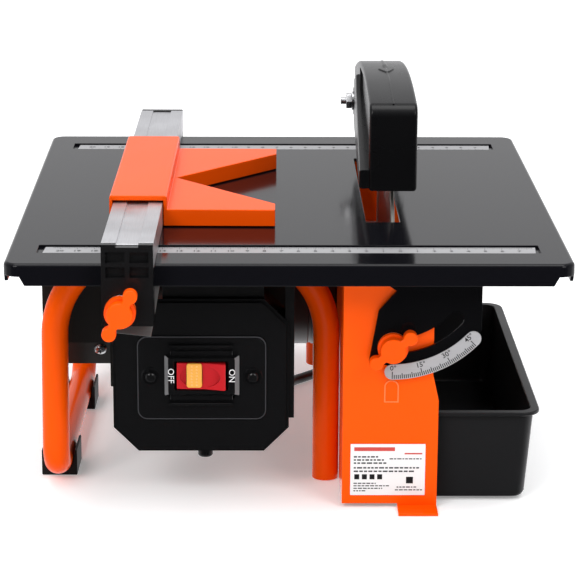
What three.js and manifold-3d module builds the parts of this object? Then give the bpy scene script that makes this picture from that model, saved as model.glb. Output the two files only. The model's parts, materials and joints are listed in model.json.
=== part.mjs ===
// Table-top wet tile cutter with a 180 mm diamond blade. Millimetres, +X right, +Y to the rear, +Z up.
// The frame stands on z = 0 and its axes meet under the middle of the machine.
import * as THREE from 'three';
import { mergeVertices } from 'three/addons/utils/BufferGeometryUtils.js';
import Module from 'manifold-3d';

const wasm = await Module();
wasm.setup();

// ---- driving dimensions ----
const GAP = 0.3;                 // clearance between neighbouring pieces
const TABLE_Z = 160;             // working surface above the ground
const TABLE_HALF_X = 165;
const TABLE_HALF_Y = 180;
const TABLE_SHEET = 2.2;
const FLANGE_DEPTH = 13;
const FLANGE_SHEET = 2;
const SLOT = { x0: 48.3, x1: 69.5, y0: -78, y1: 105 };

const BLADE_X = 65.5;
const BLADE_Y = 5;
const BLADE_RADIUS = 90;
const BLADE_CORE = 1.6;
const BLADE_RIM = 2.2;
const ARBOR_Z = TABLE_Z - 55;
const SHAFT_RADIUS = 6;
const FLANGE_RADIUS = 25;

const PIVOT_X = 61.5;
const PIVOT_Z = TABLE_Z - 7.5;
const LOCK_RADIUS = 50;          // lock stud below the tilt pivot
const LOCK_SLOT_HALF = 4.6;
const SCALE_INNER = 60.8;
const SCALE_OUTER = 70.2;

const PLATE = 1.5;               // sheet of the blade housing
const HOUSING_LEFT = 32.5;
const HOUSING_RIGHT = 89.8;
const HOUSING_FRONT = -149;
const HOUSING_REAR = 111;
const QUADRANT_SHEET = 2;
const QUADRANT_GAP = 1.2;        // between the housing plate and the quadrant in front of it

const TUBE_RADIUS = 8.2;
const LEG_LEFT_FRONT_X = -142.5;
const LEG_LEFT_REAR_X = -138.5;
const LEG_RIGHT_X = 24;
const LEG_FRONT_Y = -95;
const RAIL_FRONT_Y = -110;       // the front left leg leans forward to its ground rail
const LEG_BEND = 54;             // bend radius under the table
const LEG_REAR_Y = 88;
const CROSS_Z = TABLE_Z - 12;    // cross tubes just under the table
const RAIL_Z = TUBE_RADIUS + 2.8;

const MOTOR_RADIUS = 46;
const MOTOR_LEFT = -72;
const MOTOR_RIGHT = 25.7;

const COVER = { x0: -105, x1: 0.5, z0: TABLE_Z - 127.3, z1: TABLE_Z - 32, chamfer: 15, y: -141, depth: 3.5 };
const BOX_REAR = -107;
const ROCKER_X = -52.1;
const ROCKER_Z = TABLE_Z - 78.5;
const ROCKER_HALF_X = 15;
const ROCKER_Y = COVER.y - 1.5;
const ROCKER_HALF_Z = 8.5;

const TRAY = { x0: 36.6, x1: 152, y0: -144.5, y1: 98.5, z0: 1.6, z1: 58.6, wall: 2.2, lip: 3.2, draft: 4.2 };

const FENCE_X = -90;
const FENCE_SKEW = -0.8 * Math.PI / 180;   // the fence is clamped a little off square
const FENCE_HALF = 15;
const FENCE_HEIGHT = 15;
const FENCE_FRONT = -188.6;
const FENCE_REAR = 197.4;
const KNOB_FRONT_Y = -207;       // face of the fence knob, the front of the machine
const CAP_REAR_Y = 203;          // end cap of the fence, the rear of the machine

const GUARD = { x0: 49.5, x1: 79, y0: -80, y1: 136, top: 79, low: 20, heel: 13, wall: 2.4, arc: 500 };
const GUARD_PANEL_YAW = Math.PI * 1.4 / 180;  // the raised left panel stands out most at the front
const GUARD_PANEL_LOW = GUARD.low + 1.4;       // and clears the tilted table
const GUARD_BOLT_Y = 118;
const GUARD_BOLT_Z = TABLE_Z + 38;

const CORD_RADIUS = 3.4;
const COIL = { x: 98, y: 171, turnRadius: 37.4, bands: 3, layers: 2 };

const ORIGIN_SHIFT_Y = -(KNOB_FRONT_Y + CAP_REAR_Y) / 2;

// ---- materials ----
const finish = (color, roughness, metalness) =>
  new THREE.MeshStandardMaterial({ color, roughness, metalness });
const orangePaint = finish(0xf2560d, 0.35, 0.1);
const blackPaint = finish(0x1a1a1d, 0.25, 0.2);
const blackPlastic = finish(0x141416, 0.45, 0);
const orangePlastic = finish(0xff5a08, 0.4, 0);
const redPlastic = finish(0xc4141c, 0.3, 0);
const yellowPlastic = finish(0xffb52a, 0.4, 0);
const rubber = finish(0x1c1c1c, 0.8, 0);
const aluminium = finish(0xb9bbbf, 0.4, 0.9);
const steel = finish(0xa8a9ac, 0.3, 1);
const motorPaint = finish(0x2a2628, 0.5, 0.3);
const copper = finish(0xb06a3a, 0.4, 0.9);
const paper = finish(0xf4f4f2, 0.6, 0);

// ---- solids ----
function solid(geometry) {
  const bare = geometry.clone();
  bare.deleteAttribute('normal');
  bare.deleteAttribute('uv');
  const merged = mergeVertices(bare, 1e-4);
  const index = merged.index.array;
  const triangles = [];
  for (let i = 0; i < index.length; i += 3) {
    const [a, b, c] = [index[i], index[i + 1], index[i + 2]];
    if (a !== b && b !== c && a !== c) triangles.push(a, b, c);
  }
  const vertProperties = new Float32Array(merged.attributes.position.array);
  const build = (triVerts) => new wasm.Manifold(
    new wasm.Mesh({ numProp: 3, vertProperties, triVerts: new Uint32Array(triVerts) }));
  const made = build(triangles);
  if (made.volume() > 0) return made;
  for (let i = 0; i < triangles.length; i += 3) {
    [triangles[i], triangles[i + 1]] = [triangles[i + 1], triangles[i]];
  }
  return build(triangles);
}

function geometryOf(manifold) {
  const { vertProperties, triVerts } = manifold.getMesh();
  const geometry = new THREE.BufferGeometry();
  geometry.setAttribute('position', new THREE.BufferAttribute(new Float32Array(vertProperties), 3));
  geometry.setIndex(new THREE.BufferAttribute(new Uint32Array(triVerts), 1));
  geometry.computeVertexNormals();
  return geometry;
}

const join = (first, ...rest) => rest.reduce((sum, piece) => sum.add(piece), first);
const cut = (first, ...rest) => rest.reduce((left, piece) => left.subtract(piece), first);

function block(x0, x1, y0, y1, z0, z1) {
  const geometry = new THREE.BoxGeometry(x1 - x0, y1 - y0, z1 - z0);
  geometry.translate((x0 + x1) / 2, (y0 + y1) / 2, (z0 + z1) / 2);
  return solid(geometry);
}

const outline = (points) => new THREE.Shape(points.map(([u, v]) => new THREE.Vector2(u, v)));

function roundedRect(u0, u1, v0, v1, r) {
  const shape = new THREE.Shape();
  shape.moveTo(u0 + r, v0);
  shape.absarc(u1 - r, v0 + r, r, -Math.PI / 2, 0, false);
  shape.absarc(u1 - r, v1 - r, r, 0, Math.PI / 2, false);
  shape.absarc(u0 + r, v1 - r, r, Math.PI / 2, Math.PI, false);
  shape.absarc(u0 + r, v0 + r, r, Math.PI, Math.PI * 1.5, false);
  shape.closePath();
  return shape;
}

function extrude(shape, depth, curveSegments = 3) {
  return new THREE.ExtrudeGeometry(shape, { depth, bevelEnabled: false, curveSegments });
}

// Shape (u, v) drawn on the ground plan and raised along Z.
function alongZ(shape, z0, z1, curveSegments) {
  return solid(extrude(shape, z1 - z0, curveSegments).translate(0, 0, z0));
}

// Shape (x, z) drawn on the front view and extended along Y.
function alongY(shape, y0, y1, curveSegments) {
  const geometry = extrude(shape, y1 - y0, curveSegments);
  return solid(geometry.rotateX(Math.PI / 2).translate(0, y1, 0));
}

// Shape (y, z) drawn on the side view and extended along X.
const SIDE_VIEW = new THREE.Matrix4().makeBasis(
  new THREE.Vector3(0, 1, 0), new THREE.Vector3(0, 0, 1), new THREE.Vector3(1, 0, 0));
function alongX(shape, x0, x1, curveSegments) {
  return solid(extrude(shape, x1 - x0, curveSegments).applyMatrix4(SIDE_VIEW).translate(x0, 0, 0));
}

// Turned piece: profile points are (radius, distance along the axis).
const TURN = { x: (g) => g.rotateZ(-Math.PI / 2), y: (g) => g, z: (g) => g.rotateX(Math.PI / 2) };
function turned(profile, axis, centre, segments = 24) {
  const points = profile.map(([r, h]) => new THREE.Vector2(r, h));
  const geometry = TURN[axis](new THREE.LatheGeometry(points, segments));
  return solid(geometry.translate(centre[0], centre[1], centre[2]));
}

const disc = (radius, h0, h1, axis, centre, segments) => turned(
  [[0, h0], [radius, h0], [radius, h1], [0, h1]], axis, centre, segments);

// Six-sided nut or bolt head with a round hole.
const hexagon = (radius, hole, h0, h1, axis, centre) => (hole > 0
  ? disc(radius, h0, h1, axis, centre, 6).subtract(disc(hole, h0 - 1, h1 + 1, axis, centre, 16))
  : disc(radius, h0, h1, axis, centre, 6));

const ring = (inner, outer, h0, h1, axis, centre, segments) => turned(
  [[inner, h0], [outer, h0], [outer, h1], [inner, h1], [inner, h0]], axis, centre, segments);

// Round bar or tube that follows a route of straight runs and bends of a given radius.
function routePoints(corners) {
  const points = [corners[0].at.clone()];
  for (let i = 1; i < corners.length - 1; i += 1) {
    const { at, bend } = corners[i];
    const into = corners[i - 1].at.clone().sub(at).normalize();
    const out = corners[i + 1].at.clone().sub(at).normalize();
    const half = into.angleTo(out) / 2;
    const run = bend / Math.tan(half);
    const centre = at.clone().add(into.clone().add(out).normalize().multiplyScalar(bend / Math.sin(half)));
    const first = at.clone().addScaledVector(into, run);
    const last = at.clone().addScaledVector(out, run);
    const spokeA = first.sub(centre);
    const spokeB = last.sub(centre);
    const turn = spokeA.angleTo(spokeB);
    const steps = Math.max(2, Math.round(turn / 0.25));
    for (let k = 0; k <= steps; k += 1) {
      const a = Math.sin(turn * (1 - k / steps)) / Math.sin(turn);
      const b = Math.sin(turn * (k / steps)) / Math.sin(turn);
      points.push(centre.clone().addScaledVector(spokeA, a).addScaledVector(spokeB, b));
    }
  }
  points.push(corners[corners.length - 1].at.clone());
  return points;
}

class RunCurve extends THREE.Curve {
  constructor(points) {
    super();
    this.points = points;
    this.lengths = [0];
    points.slice(1).forEach((p, i) => this.lengths.push(this.lengths[i] + p.distanceTo(points[i])));
  }

  getPoint(t, target = new THREE.Vector3()) {
    const along = t * this.lengths[this.lengths.length - 1];
    let i = this.lengths.findIndex((l) => l >= along - 1e-9);
    i = Math.max(1, i);
    const span = this.lengths[i] - this.lengths[i - 1];
    return target.lerpVectors(this.points[i - 1], this.points[i], (along - this.lengths[i - 1]) / span);
  }
}

function roundBar(curve, radius, steps, sides) {
  const section = new THREE.Shape();
  section.absarc(0, 0, radius, 0, Math.PI * 2, false);
  return solid(new THREE.ExtrudeGeometry(section, { extrudePath: curve, steps, curveSegments: sides }));
}

// ---- the group ----
const machine = new THREE.Group();
machine.position.y = ORIGIN_SHIFT_Y;

function place(name, manifold, material, group = machine) {
  const mesh = new THREE.Mesh(geometryOf(manifold), material);
  mesh.name = name;
  group.add(mesh);
}

const at = (x, y, z) => new THREE.Vector3(x, y, z);

// ---- tubular leg frame and feet ----
function legRoute() {
  return routePoints([
    { at: at(LEG_RIGHT_X, LEG_FRONT_Y, 0.4) },
    { at: at(LEG_RIGHT_X, LEG_FRONT_Y, CROSS_Z), bend: LEG_BEND },
    { at: at(LEG_LEFT_FRONT_X, LEG_FRONT_Y, CROSS_Z), bend: LEG_BEND },
    { at: at(LEG_LEFT_FRONT_X, RAIL_FRONT_Y, RAIL_Z), bend: 15 },
    { at: at(LEG_LEFT_REAR_X, LEG_REAR_Y, RAIL_Z), bend: 20 },
    { at: at(LEG_LEFT_REAR_X, LEG_REAR_Y, CROSS_Z), bend: LEG_BEND },
    { at: at(LEG_RIGHT_X, LEG_REAR_Y, CROSS_Z), bend: LEG_BEND },
    { at: at(LEG_RIGHT_X, LEG_REAR_Y, 18) },
  ]);
}

// Saddle-shaped foot clipped under the ground rail, open along the rail.
function foot(y0, y1) {
  const middle = (y0 + y1) / 2;
  const railLength = LEG_REAR_Y - RAIL_FRONT_Y;
  const share = (middle - RAIL_FRONT_Y) / railLength;
  const x = LEG_LEFT_FRONT_X + share * (LEG_LEFT_REAR_X - LEG_LEFT_FRONT_X);
  const lean = Math.atan2(LEG_LEFT_REAR_X - LEG_LEFT_FRONT_X, railLength);
  const half = TUBE_RADIUS + 2.9;
  const profile = new THREE.Shape();
  profile.moveTo(-half, 0);
  profile.lineTo(half, 0);
  profile.lineTo(half, RAIL_Z + 5.5);
  profile.lineTo(half - 2.3, RAIL_Z + 5.5);
  profile.lineTo(TUBE_RADIUS + 0.4, RAIL_Z);
  profile.absarc(0, RAIL_Z, TUBE_RADIUS + 0.4, 0, -Math.PI, true);
  profile.lineTo(-half + 2.3, RAIL_Z + 5.5);
  profile.lineTo(-half, RAIL_Z + 5.5);
  profile.closePath();
  const geometry = extrude(profile, y1 - y0, 8).rotateX(Math.PI / 2).translate(0, (y1 - y0) / 2, 0);
  geometry.rotateZ(-lean).translate(x, middle, 0);
  return solid(geometry);
}

place('leg_frame', roundBar(new RunCurve(legRoute()), TUBE_RADIUS, 96, 5), orangePaint);
place('foot_front', foot(-92, -62), rubber);
place('foot_rear', foot(38, 67), rubber);

// ---- blade housing ----
function housingFace() {
  const rise = 3.2;
  return outline([
    [HOUSING_LEFT, 2.5], [66, 2.5], [66, 0], [HOUSING_RIGHT, 0], [HOUSING_RIGHT, 68], [86.2, 84],
    [86.2, PIVOT_Z - 18.5], [PIVOT_X + rise, PIVOT_Z + rise], [PIVOT_X, PIVOT_Z + 4.5],
    [HOUSING_LEFT, PIVOT_Z + 4.5],
  ]);
}

function bladeHousing() {
  const rearFace = HOUSING_REAR - PLATE;
  const left = HOUSING_LEFT + PLATE;
  const shaftHole = disc(13, -8, 8, 'x', [left, BLADE_Y, ARBOR_Z], 24);
  const body = join(
    alongY(housingFace(), HOUSING_FRONT, HOUSING_FRONT + PLATE),
    alongY(housingFace(), rearFace, HOUSING_REAR),
    block(HOUSING_LEFT, left, HOUSING_FRONT + 0.5, HOUSING_REAR - 0.5, 2.5, TABLE_Z - 13),
    block(HOUSING_LEFT, 51, -70, 60, TABLE_Z - 14.5, TABLE_Z - 13),
    block(66, HOUSING_RIGHT, HOUSING_FRONT - 15, HOUSING_FRONT + PLATE, 0, 1.6),
    block(66, HOUSING_RIGHT, rearFace, HOUSING_REAR + 3, 0, 1.6),
  );
  const pinHole = disc(3.3, HOUSING_FRONT - 5, HOUSING_REAR + 5, 'y', [PIVOT_X, 0, PIVOT_Z], 16);
  const studCentre = [PIVOT_X, 0, PIVOT_Z - LOCK_RADIUS];
  const studHole = disc(3.3, HOUSING_FRONT - 5, HOUSING_REAR + 5, 'y', studCentre, 16);
  return cut(body, shaftHole, pinHole, studHole);
}

place('blade_housing', bladeHousing(), orangePaint);
place('rating_label', block(37.5, 82.5, HOUSING_FRONT - 0.5, HOUSING_FRONT - 0.3, 8, 40.5), paper);

// Sheet that ties the left leg, the switch box and the motor together, with a lip folded back below.
const PANEL_FOLD = TABLE_Z - 76.4;
const PANEL_LIP = { back: 11.8, drop: 17.2, bolt: 5.6 };
const LIP_LEAN = Math.atan2(PANEL_LIP.back, PANEL_LIP.drop);

function crossPanel() {
  const low = PANEL_FOLD - PANEL_LIP.drop;
  const lip = outline([
    [-81.8, TABLE_Z - 21], [-81.8, PANEL_FOLD], [-81.8 + PANEL_LIP.back, low],
    [-80.4 + PANEL_LIP.back, low + 0.9], [-80.2, PANEL_FOLD + 0.6], [-80.2, TABLE_Z - 21],
  ]);
  return join(
    alongX(lip, -151.5, -109),
    block(-110, 4.5, -81.8, -80.2, TABLE_Z - 105, TABLE_Z - 21),
    block(-66, -20, -81, -46, TABLE_Z - 105, TABLE_Z - 103.4),
  );
}

// A round bar square to the folded lip: height is measured outwards from the lip's outer face.
function lipDisc(radius, from, to, segments) {
  const bar = new THREE.CylinderGeometry(radius, radius, to - from, segments);
  bar.translate(0, -(from + to) / 2, 0);
  const y = -81.8 + PANEL_LIP.bolt * Math.sin(LIP_LEAN);
  const z = PANEL_FOLD - PANEL_LIP.bolt * Math.cos(LIP_LEAN);
  return solid(bar.rotateX(LIP_LEAN).translate(-116.2, y, z));
}
place('cross_panel', cut(crossPanel(), lipDisc(3.1, -6, 3, 12)), blackPaint);
place('panel_bolt', join(lipDisc(4, 0.3, 2.9, 16), lipDisc(2.6, -7, 1, 12)), steel);

// ---- motor ----
const SHAFT_CENTRE = [0, BLADE_Y, ARBOR_Z];

place('motor_shell', ring(MOTOR_RADIUS - 2.5, MOTOR_RADIUS, -59.7, MOTOR_RIGHT, 'x', SHAFT_CENTRE, 32),
  motorPaint);

place('motor_end_left', turned([
  [11.4, -66], [15, -66], [15, -63], [38, -63], [43, -60], [MOTOR_RADIUS, -60], [MOTOR_RADIUS, -64],
  [42, -70], [34, MOTOR_LEFT], [4, MOTOR_LEFT], [4, -70], [11.4, -70], [11.4, -66],
], 'x', SHAFT_CENTRE, 32), motorPaint);

place('motor_end_right', turned([
  [11.4, 20], [15, 20], [15, 26], [MOTOR_RADIUS, 26], [MOTOR_RADIUS, 32.2], [7.2, 32.2], [7.2, 28.6],
  [11.4, 28.6], [11.4, 20],
], 'x', SHAFT_CENTRE, 32), motorPaint);

place('bearing_left', ring(SHAFT_RADIUS + GAP, 11, -69.6, -60.5, 'x', SHAFT_CENTRE, 20), steel);
place('bearing_right', ring(SHAFT_RADIUS + GAP, 11, 20.4, 28.2, 'x', SHAFT_CENTRE, 20), steel);
place('stator', ring(28, MOTOR_RADIUS - 2.9, -42, 8, 'x', SHAFT_CENTRE, 24), copper);
place('rotor', ring(8, 27.2, -40, 6, 'x', SHAFT_CENTRE, 24), steel);

function coolingFan() {
  const hub = ring(SHAFT_RADIUS + GAP, 11, -56, -48, 'x', SHAFT_CENTRE, 16);
  const web = ring(10, 39, -50, -48.4, 'x', SHAFT_CENTRE, 24);
  const vanes = [];
  for (let i = 0; i < 8; i += 1) {
    const vane = new THREE.BoxGeometry(6, 1.6, 28).translate(-52.4, 0, 24).rotateX((i / 8) * Math.PI * 2);
    vanes.push(solid(vane.translate(0, BLADE_Y, ARBOR_Z)));
  }
  return join(hub, web, ...vanes);
}
place('cooling_fan', coolingFan(), blackPlastic);

place('shaft', turned([
  [0, -68], [SHAFT_RADIUS, -68], [SHAFT_RADIUS, -45], [7.6, -45], [7.6, 18], [SHAFT_RADIUS, 18],
  [SHAFT_RADIUS, 79], [0, 79],
], 'x', SHAFT_CENTRE, 20), steel);

// ---- blade and its clamping parts ----
const BLADE_CENTRE = [BLADE_X, BLADE_Y, ARBOR_Z];
place('flange_inner', turned([
  [SHAFT_RADIUS + GAP, -9], [10, -9], [10, -5.5], [FLANGE_RADIUS, -3.2], [FLANGE_RADIUS, -1.1 - GAP],
  [SHAFT_RADIUS + GAP, -1.1 - GAP], [SHAFT_RADIUS + GAP, -9],
], 'x', BLADE_CENTRE, 24), steel);
place('diamond_blade', turned([
  [SHAFT_RADIUS + GAP, -BLADE_CORE / 2], [BLADE_RADIUS - 8, -BLADE_CORE / 2],
  [BLADE_RADIUS - 8, -BLADE_RIM / 2],
  [BLADE_RADIUS, -BLADE_RIM / 2], [BLADE_RADIUS, BLADE_RIM / 2], [BLADE_RADIUS - 8, BLADE_RIM / 2],
  [BLADE_RADIUS - 8, BLADE_CORE / 2], [SHAFT_RADIUS + GAP, BLADE_CORE / 2],
  [SHAFT_RADIUS + GAP, -BLADE_CORE / 2],
], 'x', BLADE_CENTRE, 48), steel);
place('flange_outer', turned([
  [SHAFT_RADIUS + GAP, 0.8 + GAP], [FLANGE_RADIUS, 0.8 + GAP], [FLANGE_RADIUS, 2.8], [12, 4.6],
  [SHAFT_RADIUS + GAP, 4.6], [SHAFT_RADIUS + GAP, 0.8 + GAP],
], 'x', BLADE_CENTRE, 24), steel);
place('arbor_nut', hexagon(10.5, SHAFT_RADIUS + GAP, 4.9, 12.5, 'x', BLADE_CENTRE), steel);

// Riving knife rising behind the blade, with the guard's pivot bolt at its top.
function rivingKnife() {
  const shape = new THREE.Shape();
  const radius = BLADE_RADIUS + 6;
  const foot = ARBOR_Z + 7;
  const rear = HOUSING_REAR - PLATE - 1.5;
  const neck = SLOT.y1 - 2.5;
  shape.moveTo(rear, foot);
  shape.lineTo(rear, TABLE_Z - 22);
  shape.lineTo(neck, TABLE_Z - 12);
  shape.lineTo(neck, TABLE_Z + 3);
  shape.lineTo(GUARD_BOLT_Y + 9, GUARD_BOLT_Z);
  shape.absarc(GUARD_BOLT_Y, GUARD_BOLT_Z, 9, 0, 2.6, false);
  shape.lineTo(GUARD_BOLT_Y - 20, GUARD_BOLT_Z - 14);
  shape.absarc(BLADE_Y, ARBOR_Z, radius, 0.68, Math.asin(7 / radius), true);
  shape.closePath();
  const plate = alongX(shape, BLADE_X - 1, BLADE_X + 1, 5);
  const bracket = block(HOUSING_LEFT + PLATE + GAP, BLADE_X + 1, rear - 11, rear, foot, foot + 3);
  return cut(join(plate, bracket), disc(2.9, -5, 5, 'x', [BLADE_X, GUARD_BOLT_Y, GUARD_BOLT_Z], 12));
}
place('riving_knife', rivingKnife(), steel);

// ---- blade guard: two shells on one bolt ----
function guardProfile(inset, frontInset, bottomExtra) {
  const centreZ = TABLE_Z + GUARD.top - GUARD.arc;
  const radius = GUARD.arc - inset;
  const topZ = (y) => centreZ + Math.sqrt(radius * radius - y * y);
  const angle = (y) => Math.atan2(Math.sqrt(radius * radius - y * y), y);
  const front = GUARD.y0 + frontInset;
  const rear = GUARD.y1 - frontInset;
  const low = TABLE_Z + GUARD.low - bottomExtra;
  const shape = new THREE.Shape();
  shape.moveTo(front, low);
  shape.lineTo(rear + 2 - GUARD.heel, low);
  shape.lineTo(rear + 2, low + GUARD.heel);
  shape.lineTo(rear, topZ(rear));
  shape.absarc(0, centreZ, radius, angle(rear), angle(front), false);
  shape.closePath();
  return shape;
}

function guardShell(x0, x1, cavity0, cavity1) {
  const shell = alongX(guardProfile(0, 0, 0), x0, x1, 14);
  const cavity = alongX(guardProfile(GUARD.wall, GUARD.wall, 5), cavity0, cavity1, 14);
  const rearMouth = block(
    cavity0, cavity1, GUARD.y1 - 12, GUARD.y1 + 8, TABLE_Z + GUARD.low - 5, TABLE_Z + 43);
  const boltHole = disc(3.1, -40, 40, 'x', [BLADE_X, GUARD_BOLT_Y, GUARD_BOLT_Z], 12);
  return cut(shell, cavity, rearMouth, boltHole);
}

// Raised panel on the left shell, below the crescent recess, 6 mm proud at its front end.
function guardPanel() {
  const level = (y, z) => [y, TABLE_Z + z];
  const face = outline([
    level(GUARD.y0 + 0.6, GUARD_PANEL_LOW), level(118, GUARD_PANEL_LOW), level(130, 32), level(130, 52),
    level(66, 66), level(50, 57.6), level(20, 50), level(-47, 38.6), level(GUARD.y0 + 0.6, 33),
  ]);
  const outside = new THREE.BoxGeometry(20, 300, 100).translate(-10, 100, 0).rotateZ(-GUARD_PANEL_YAW);
  outside.translate(GUARD.x0 - 6, GUARD.y0, TABLE_Z + 45);
  const boltHole = disc(3.1, -40, 40, 'x', [BLADE_X, GUARD_BOLT_Y, GUARD_BOLT_Z], 12);
  return cut(alongX(face, GUARD.x0 - 8, GUARD.x0 + 0.5), solid(outside), boltHole);
}

const GUARD_MID = (GUARD.x0 + GUARD.x1) / 2;
const leftShell = guardShell(GUARD.x0, GUARD_MID - GAP / 2, GUARD.x0 + GUARD.wall, GUARD_MID + 1);
place('guard_left', join(leftShell, guardPanel()), blackPlastic);
const rightShell = guardShell(GUARD_MID + GAP / 2, GUARD.x1, GUARD_MID - 1, GUARD.x1 - GUARD.wall);
place('guard_right', rightShell, blackPlastic);

const BOLT_AXIS = [BLADE_X, GUARD_BOLT_Y, GUARD_BOLT_Z];
place('guard_bolt', join(
  hexagon(5, 0, 14.8, 18.3, 'x', BOLT_AXIS),
  disc(2.5, -26.3, 15.5, 'x', BOLT_AXIS, 12),
), steel);
place('guard_nut', hexagon(5.6, 2.8, -22.6, -17.8, 'x', BOLT_AXIS), steel);

// ---- table ----
function tableTop() {
  const under = TABLE_Z - TABLE_SHEET;
  const plan = (inset) => roundedRect(
    -TABLE_HALF_X + inset, TABLE_HALF_X - inset, -TABLE_HALF_Y + inset, TABLE_HALF_Y - inset, 9 - inset);
  const corner = (sx, sy) => {
    const notch = new THREE.BoxGeometry(16, 16, 10).rotateZ(Math.PI / 4);
    return solid(notch.translate(sx * 165, sy * 180, TABLE_Z - 14));
  };
  return cut(
    alongZ(plan(0), TABLE_Z - FLANGE_DEPTH, TABLE_Z, 3),
    alongZ(plan(FLANGE_SHEET), TABLE_Z - FLANGE_DEPTH - 1, under, 3),
    block(SLOT.x0, SLOT.x1, SLOT.y0, SLOT.y1, under - 2, TABLE_Z + 2),
    block(-145.5, 146.5, -153.3, -135.2, TABLE_Z - 1.1, TABLE_Z + 1),
    block(-145.5, 146.5, 135.2, 153.3, TABLE_Z - 1.1, TABLE_Z + 1),
    corner(-1, -1), corner(1, -1), corner(1, 1), corner(-1, 1),
  );
}
place('table_top', tableTop(), blackPaint);

function ruler(y0, y1) {
  const plan = outline([[-144.5, y0], [144.5, y0], [145.8, y1], [-143.5, y1]]);
  return alongZ(plan, TABLE_Z - 0.8, TABLE_Z - 0.1);
}
place('ruler_front', ruler(-153, -137.4), aluminium);
place('ruler_rear', ruler(135.5, 151.2), aluminium);

// Tilt quadrant: a plate below the table with an arc slot round the pivot and a welded top flange.
function quadrantFace() {
  const shape = new THREE.Shape();
  const point = (u, v) => [PIVOT_X + u, PIVOT_Z + v];
  const reach = 66;
  const right = Math.atan2(-Math.sqrt(reach * reach - 52.5 * 52.5), 52.5);
  const left = Math.atan2(-Math.sqrt(reach * reach - 6 * 6), 6);
  shape.moveTo(...point(52.5, 4.6));
  shape.lineTo(...point(-11, 4.6));
  shape.lineTo(...point(-11, -7));
  shape.lineTo(...point(2, -16));
  shape.lineTo(...point(-8.5, -27.9));
  shape.lineTo(...point(-13.9, -59.2));
  shape.lineTo(...point(-4, -61.4));
  shape.absarc(PIVOT_X, PIVOT_Z, reach, left, right, false);
  shape.closePath();
  return shape;
}

function lockSlot(y0, y1) {
  const shape = new THREE.Shape();
  const from = -Math.PI / 2 - 0.06;
  const to = -Math.PI / 2 + Math.PI / 4 + 0.06;
  const end = (angle, r) => [PIVOT_X + r * Math.cos(angle), PIVOT_Z + r * Math.sin(angle)];
  shape.absarc(PIVOT_X, PIVOT_Z, LOCK_RADIUS + LOCK_SLOT_HALF, from, to, false);
  shape.absarc(...end(to, LOCK_RADIUS), LOCK_SLOT_HALF, to, to + Math.PI, false);
  shape.absarc(PIVOT_X, PIVOT_Z, LOCK_RADIUS - LOCK_SLOT_HALF, to, from, true);
  shape.absarc(...end(from, LOCK_RADIUS), LOCK_SLOT_HALF, from + Math.PI, from + Math.PI * 2, false);
  shape.closePath();
  return alongY(shape, y0, y1, 8);
}

function quadrant(y0, flange0, flange1) {
  const y1 = y0 + QUADRANT_SHEET;
  const top = PIVOT_Z + 4.6;
  return cut(
    alongY(quadrantFace(), y0, y1, 16).add(
      block(PIVOT_X + 12, PIVOT_X + 52.5, flange0, flange1, top - 1.8, top)),
    lockSlot(y0 - 1, y1 + 1),
    disc(3.3, y0 - 5, y1 + 5, 'y', [PIVOT_X, 0, PIVOT_Z], 16),
  );
}

const QUAD_FRONT = HOUSING_FRONT - QUADRANT_GAP - QUADRANT_SHEET;
const QUAD_REAR = HOUSING_REAR + QUADRANT_GAP;
place('quadrant_front', quadrant(QUAD_FRONT, QUAD_FRONT - 14, QUAD_FRONT + 1), blackPaint);
place('quadrant_rear', quadrant(QUAD_REAR, QUAD_REAR + 1, QUAD_REAR + 16), blackPaint);

function angleScale() {
  const from = -Math.PI / 2;
  const to = -Math.PI / 2 + Math.PI / 4 + 0.03;
  const middle = (SCALE_INNER + SCALE_OUTER) / 2;
  const half = (SCALE_OUTER - SCALE_INNER) / 2;
  const end = (angle) => [PIVOT_X + middle * Math.cos(angle), PIVOT_Z + middle * Math.sin(angle)];
  const shape = new THREE.Shape();
  shape.absarc(PIVOT_X, PIVOT_Z, SCALE_OUTER, from, to, false);
  shape.absarc(...end(to), half, to, to + Math.PI, false);
  shape.absarc(PIVOT_X, PIVOT_Z, SCALE_INNER, to, from, true);
  shape.absarc(...end(from), half, from + Math.PI, from + Math.PI * 2, false);
  shape.closePath();
  return alongY(shape, QUAD_FRONT - 1.2, QUAD_FRONT - GAP, 12);
}
place('angle_scale', angleScale(), aluminium);

// Shouldered pins on the tilt axis and studs for the lock knobs.
const pin = (h0, h1, headOut) => join(
  disc(3, h0, h1, 'y', [PIVOT_X, 0, PIVOT_Z], 16),
  headOut < 0 ? disc(4.2, h0 - 2, h0 + 0.5, 'y', [PIVOT_X, 0, PIVOT_Z], 16)
    : disc(4.2, h1 - 0.5, h1 + 2, 'y', [PIVOT_X, 0, PIVOT_Z], 16),
);
place('pivot_pin_front', pin(QUAD_FRONT - 0.8, HOUSING_FRONT + PLATE + 0.9, -1), steel);
place('pivot_pin_rear', pin(HOUSING_REAR - PLATE - 0.9, QUAD_REAR + QUADRANT_SHEET + 0.8, 1), steel);

// ---- two-lobed knobs ----
// The lobes lie on a line through the axis; the knob's face is at y = 0 and it runs back along +Y.
function lobedKnob(centre, angle, facing, { body, lobe, reach, collar, thick, total }) {
  const parts = [
    disc(body, 0, total, 'y', [0, 0, 0], 20),
    ring(2.9, collar, thick + 0.5, total, 'y', [0, 0, 0], 20),
  ];
  for (const side of [-1, 1]) {
    const u = side * reach * Math.cos(angle);
    const v = side * reach * Math.sin(angle);
    parts.push(disc(lobe, 0, thick, 'y', [u, 0, v], 16));
    const arm = new THREE.BoxGeometry(reach, thick - 1, lobe).translate(reach / 2, thick / 2, 0);
    parts.push(solid(arm.rotateY(side > 0 ? -angle : Math.PI - angle)));
  }
  const bore = disc(2.9, 3, total + 1, 'y', [0, 0, 0], 12);
  const knob = cut(join(...parts), bore);
  return knob.scale([1, facing, 1]).translate(centre);
}
const KNOB = { body: 7.8, lobe: 4.4, reach: 13.4, collar: 9.1, thick: 7.5, total: 11 };

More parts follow.
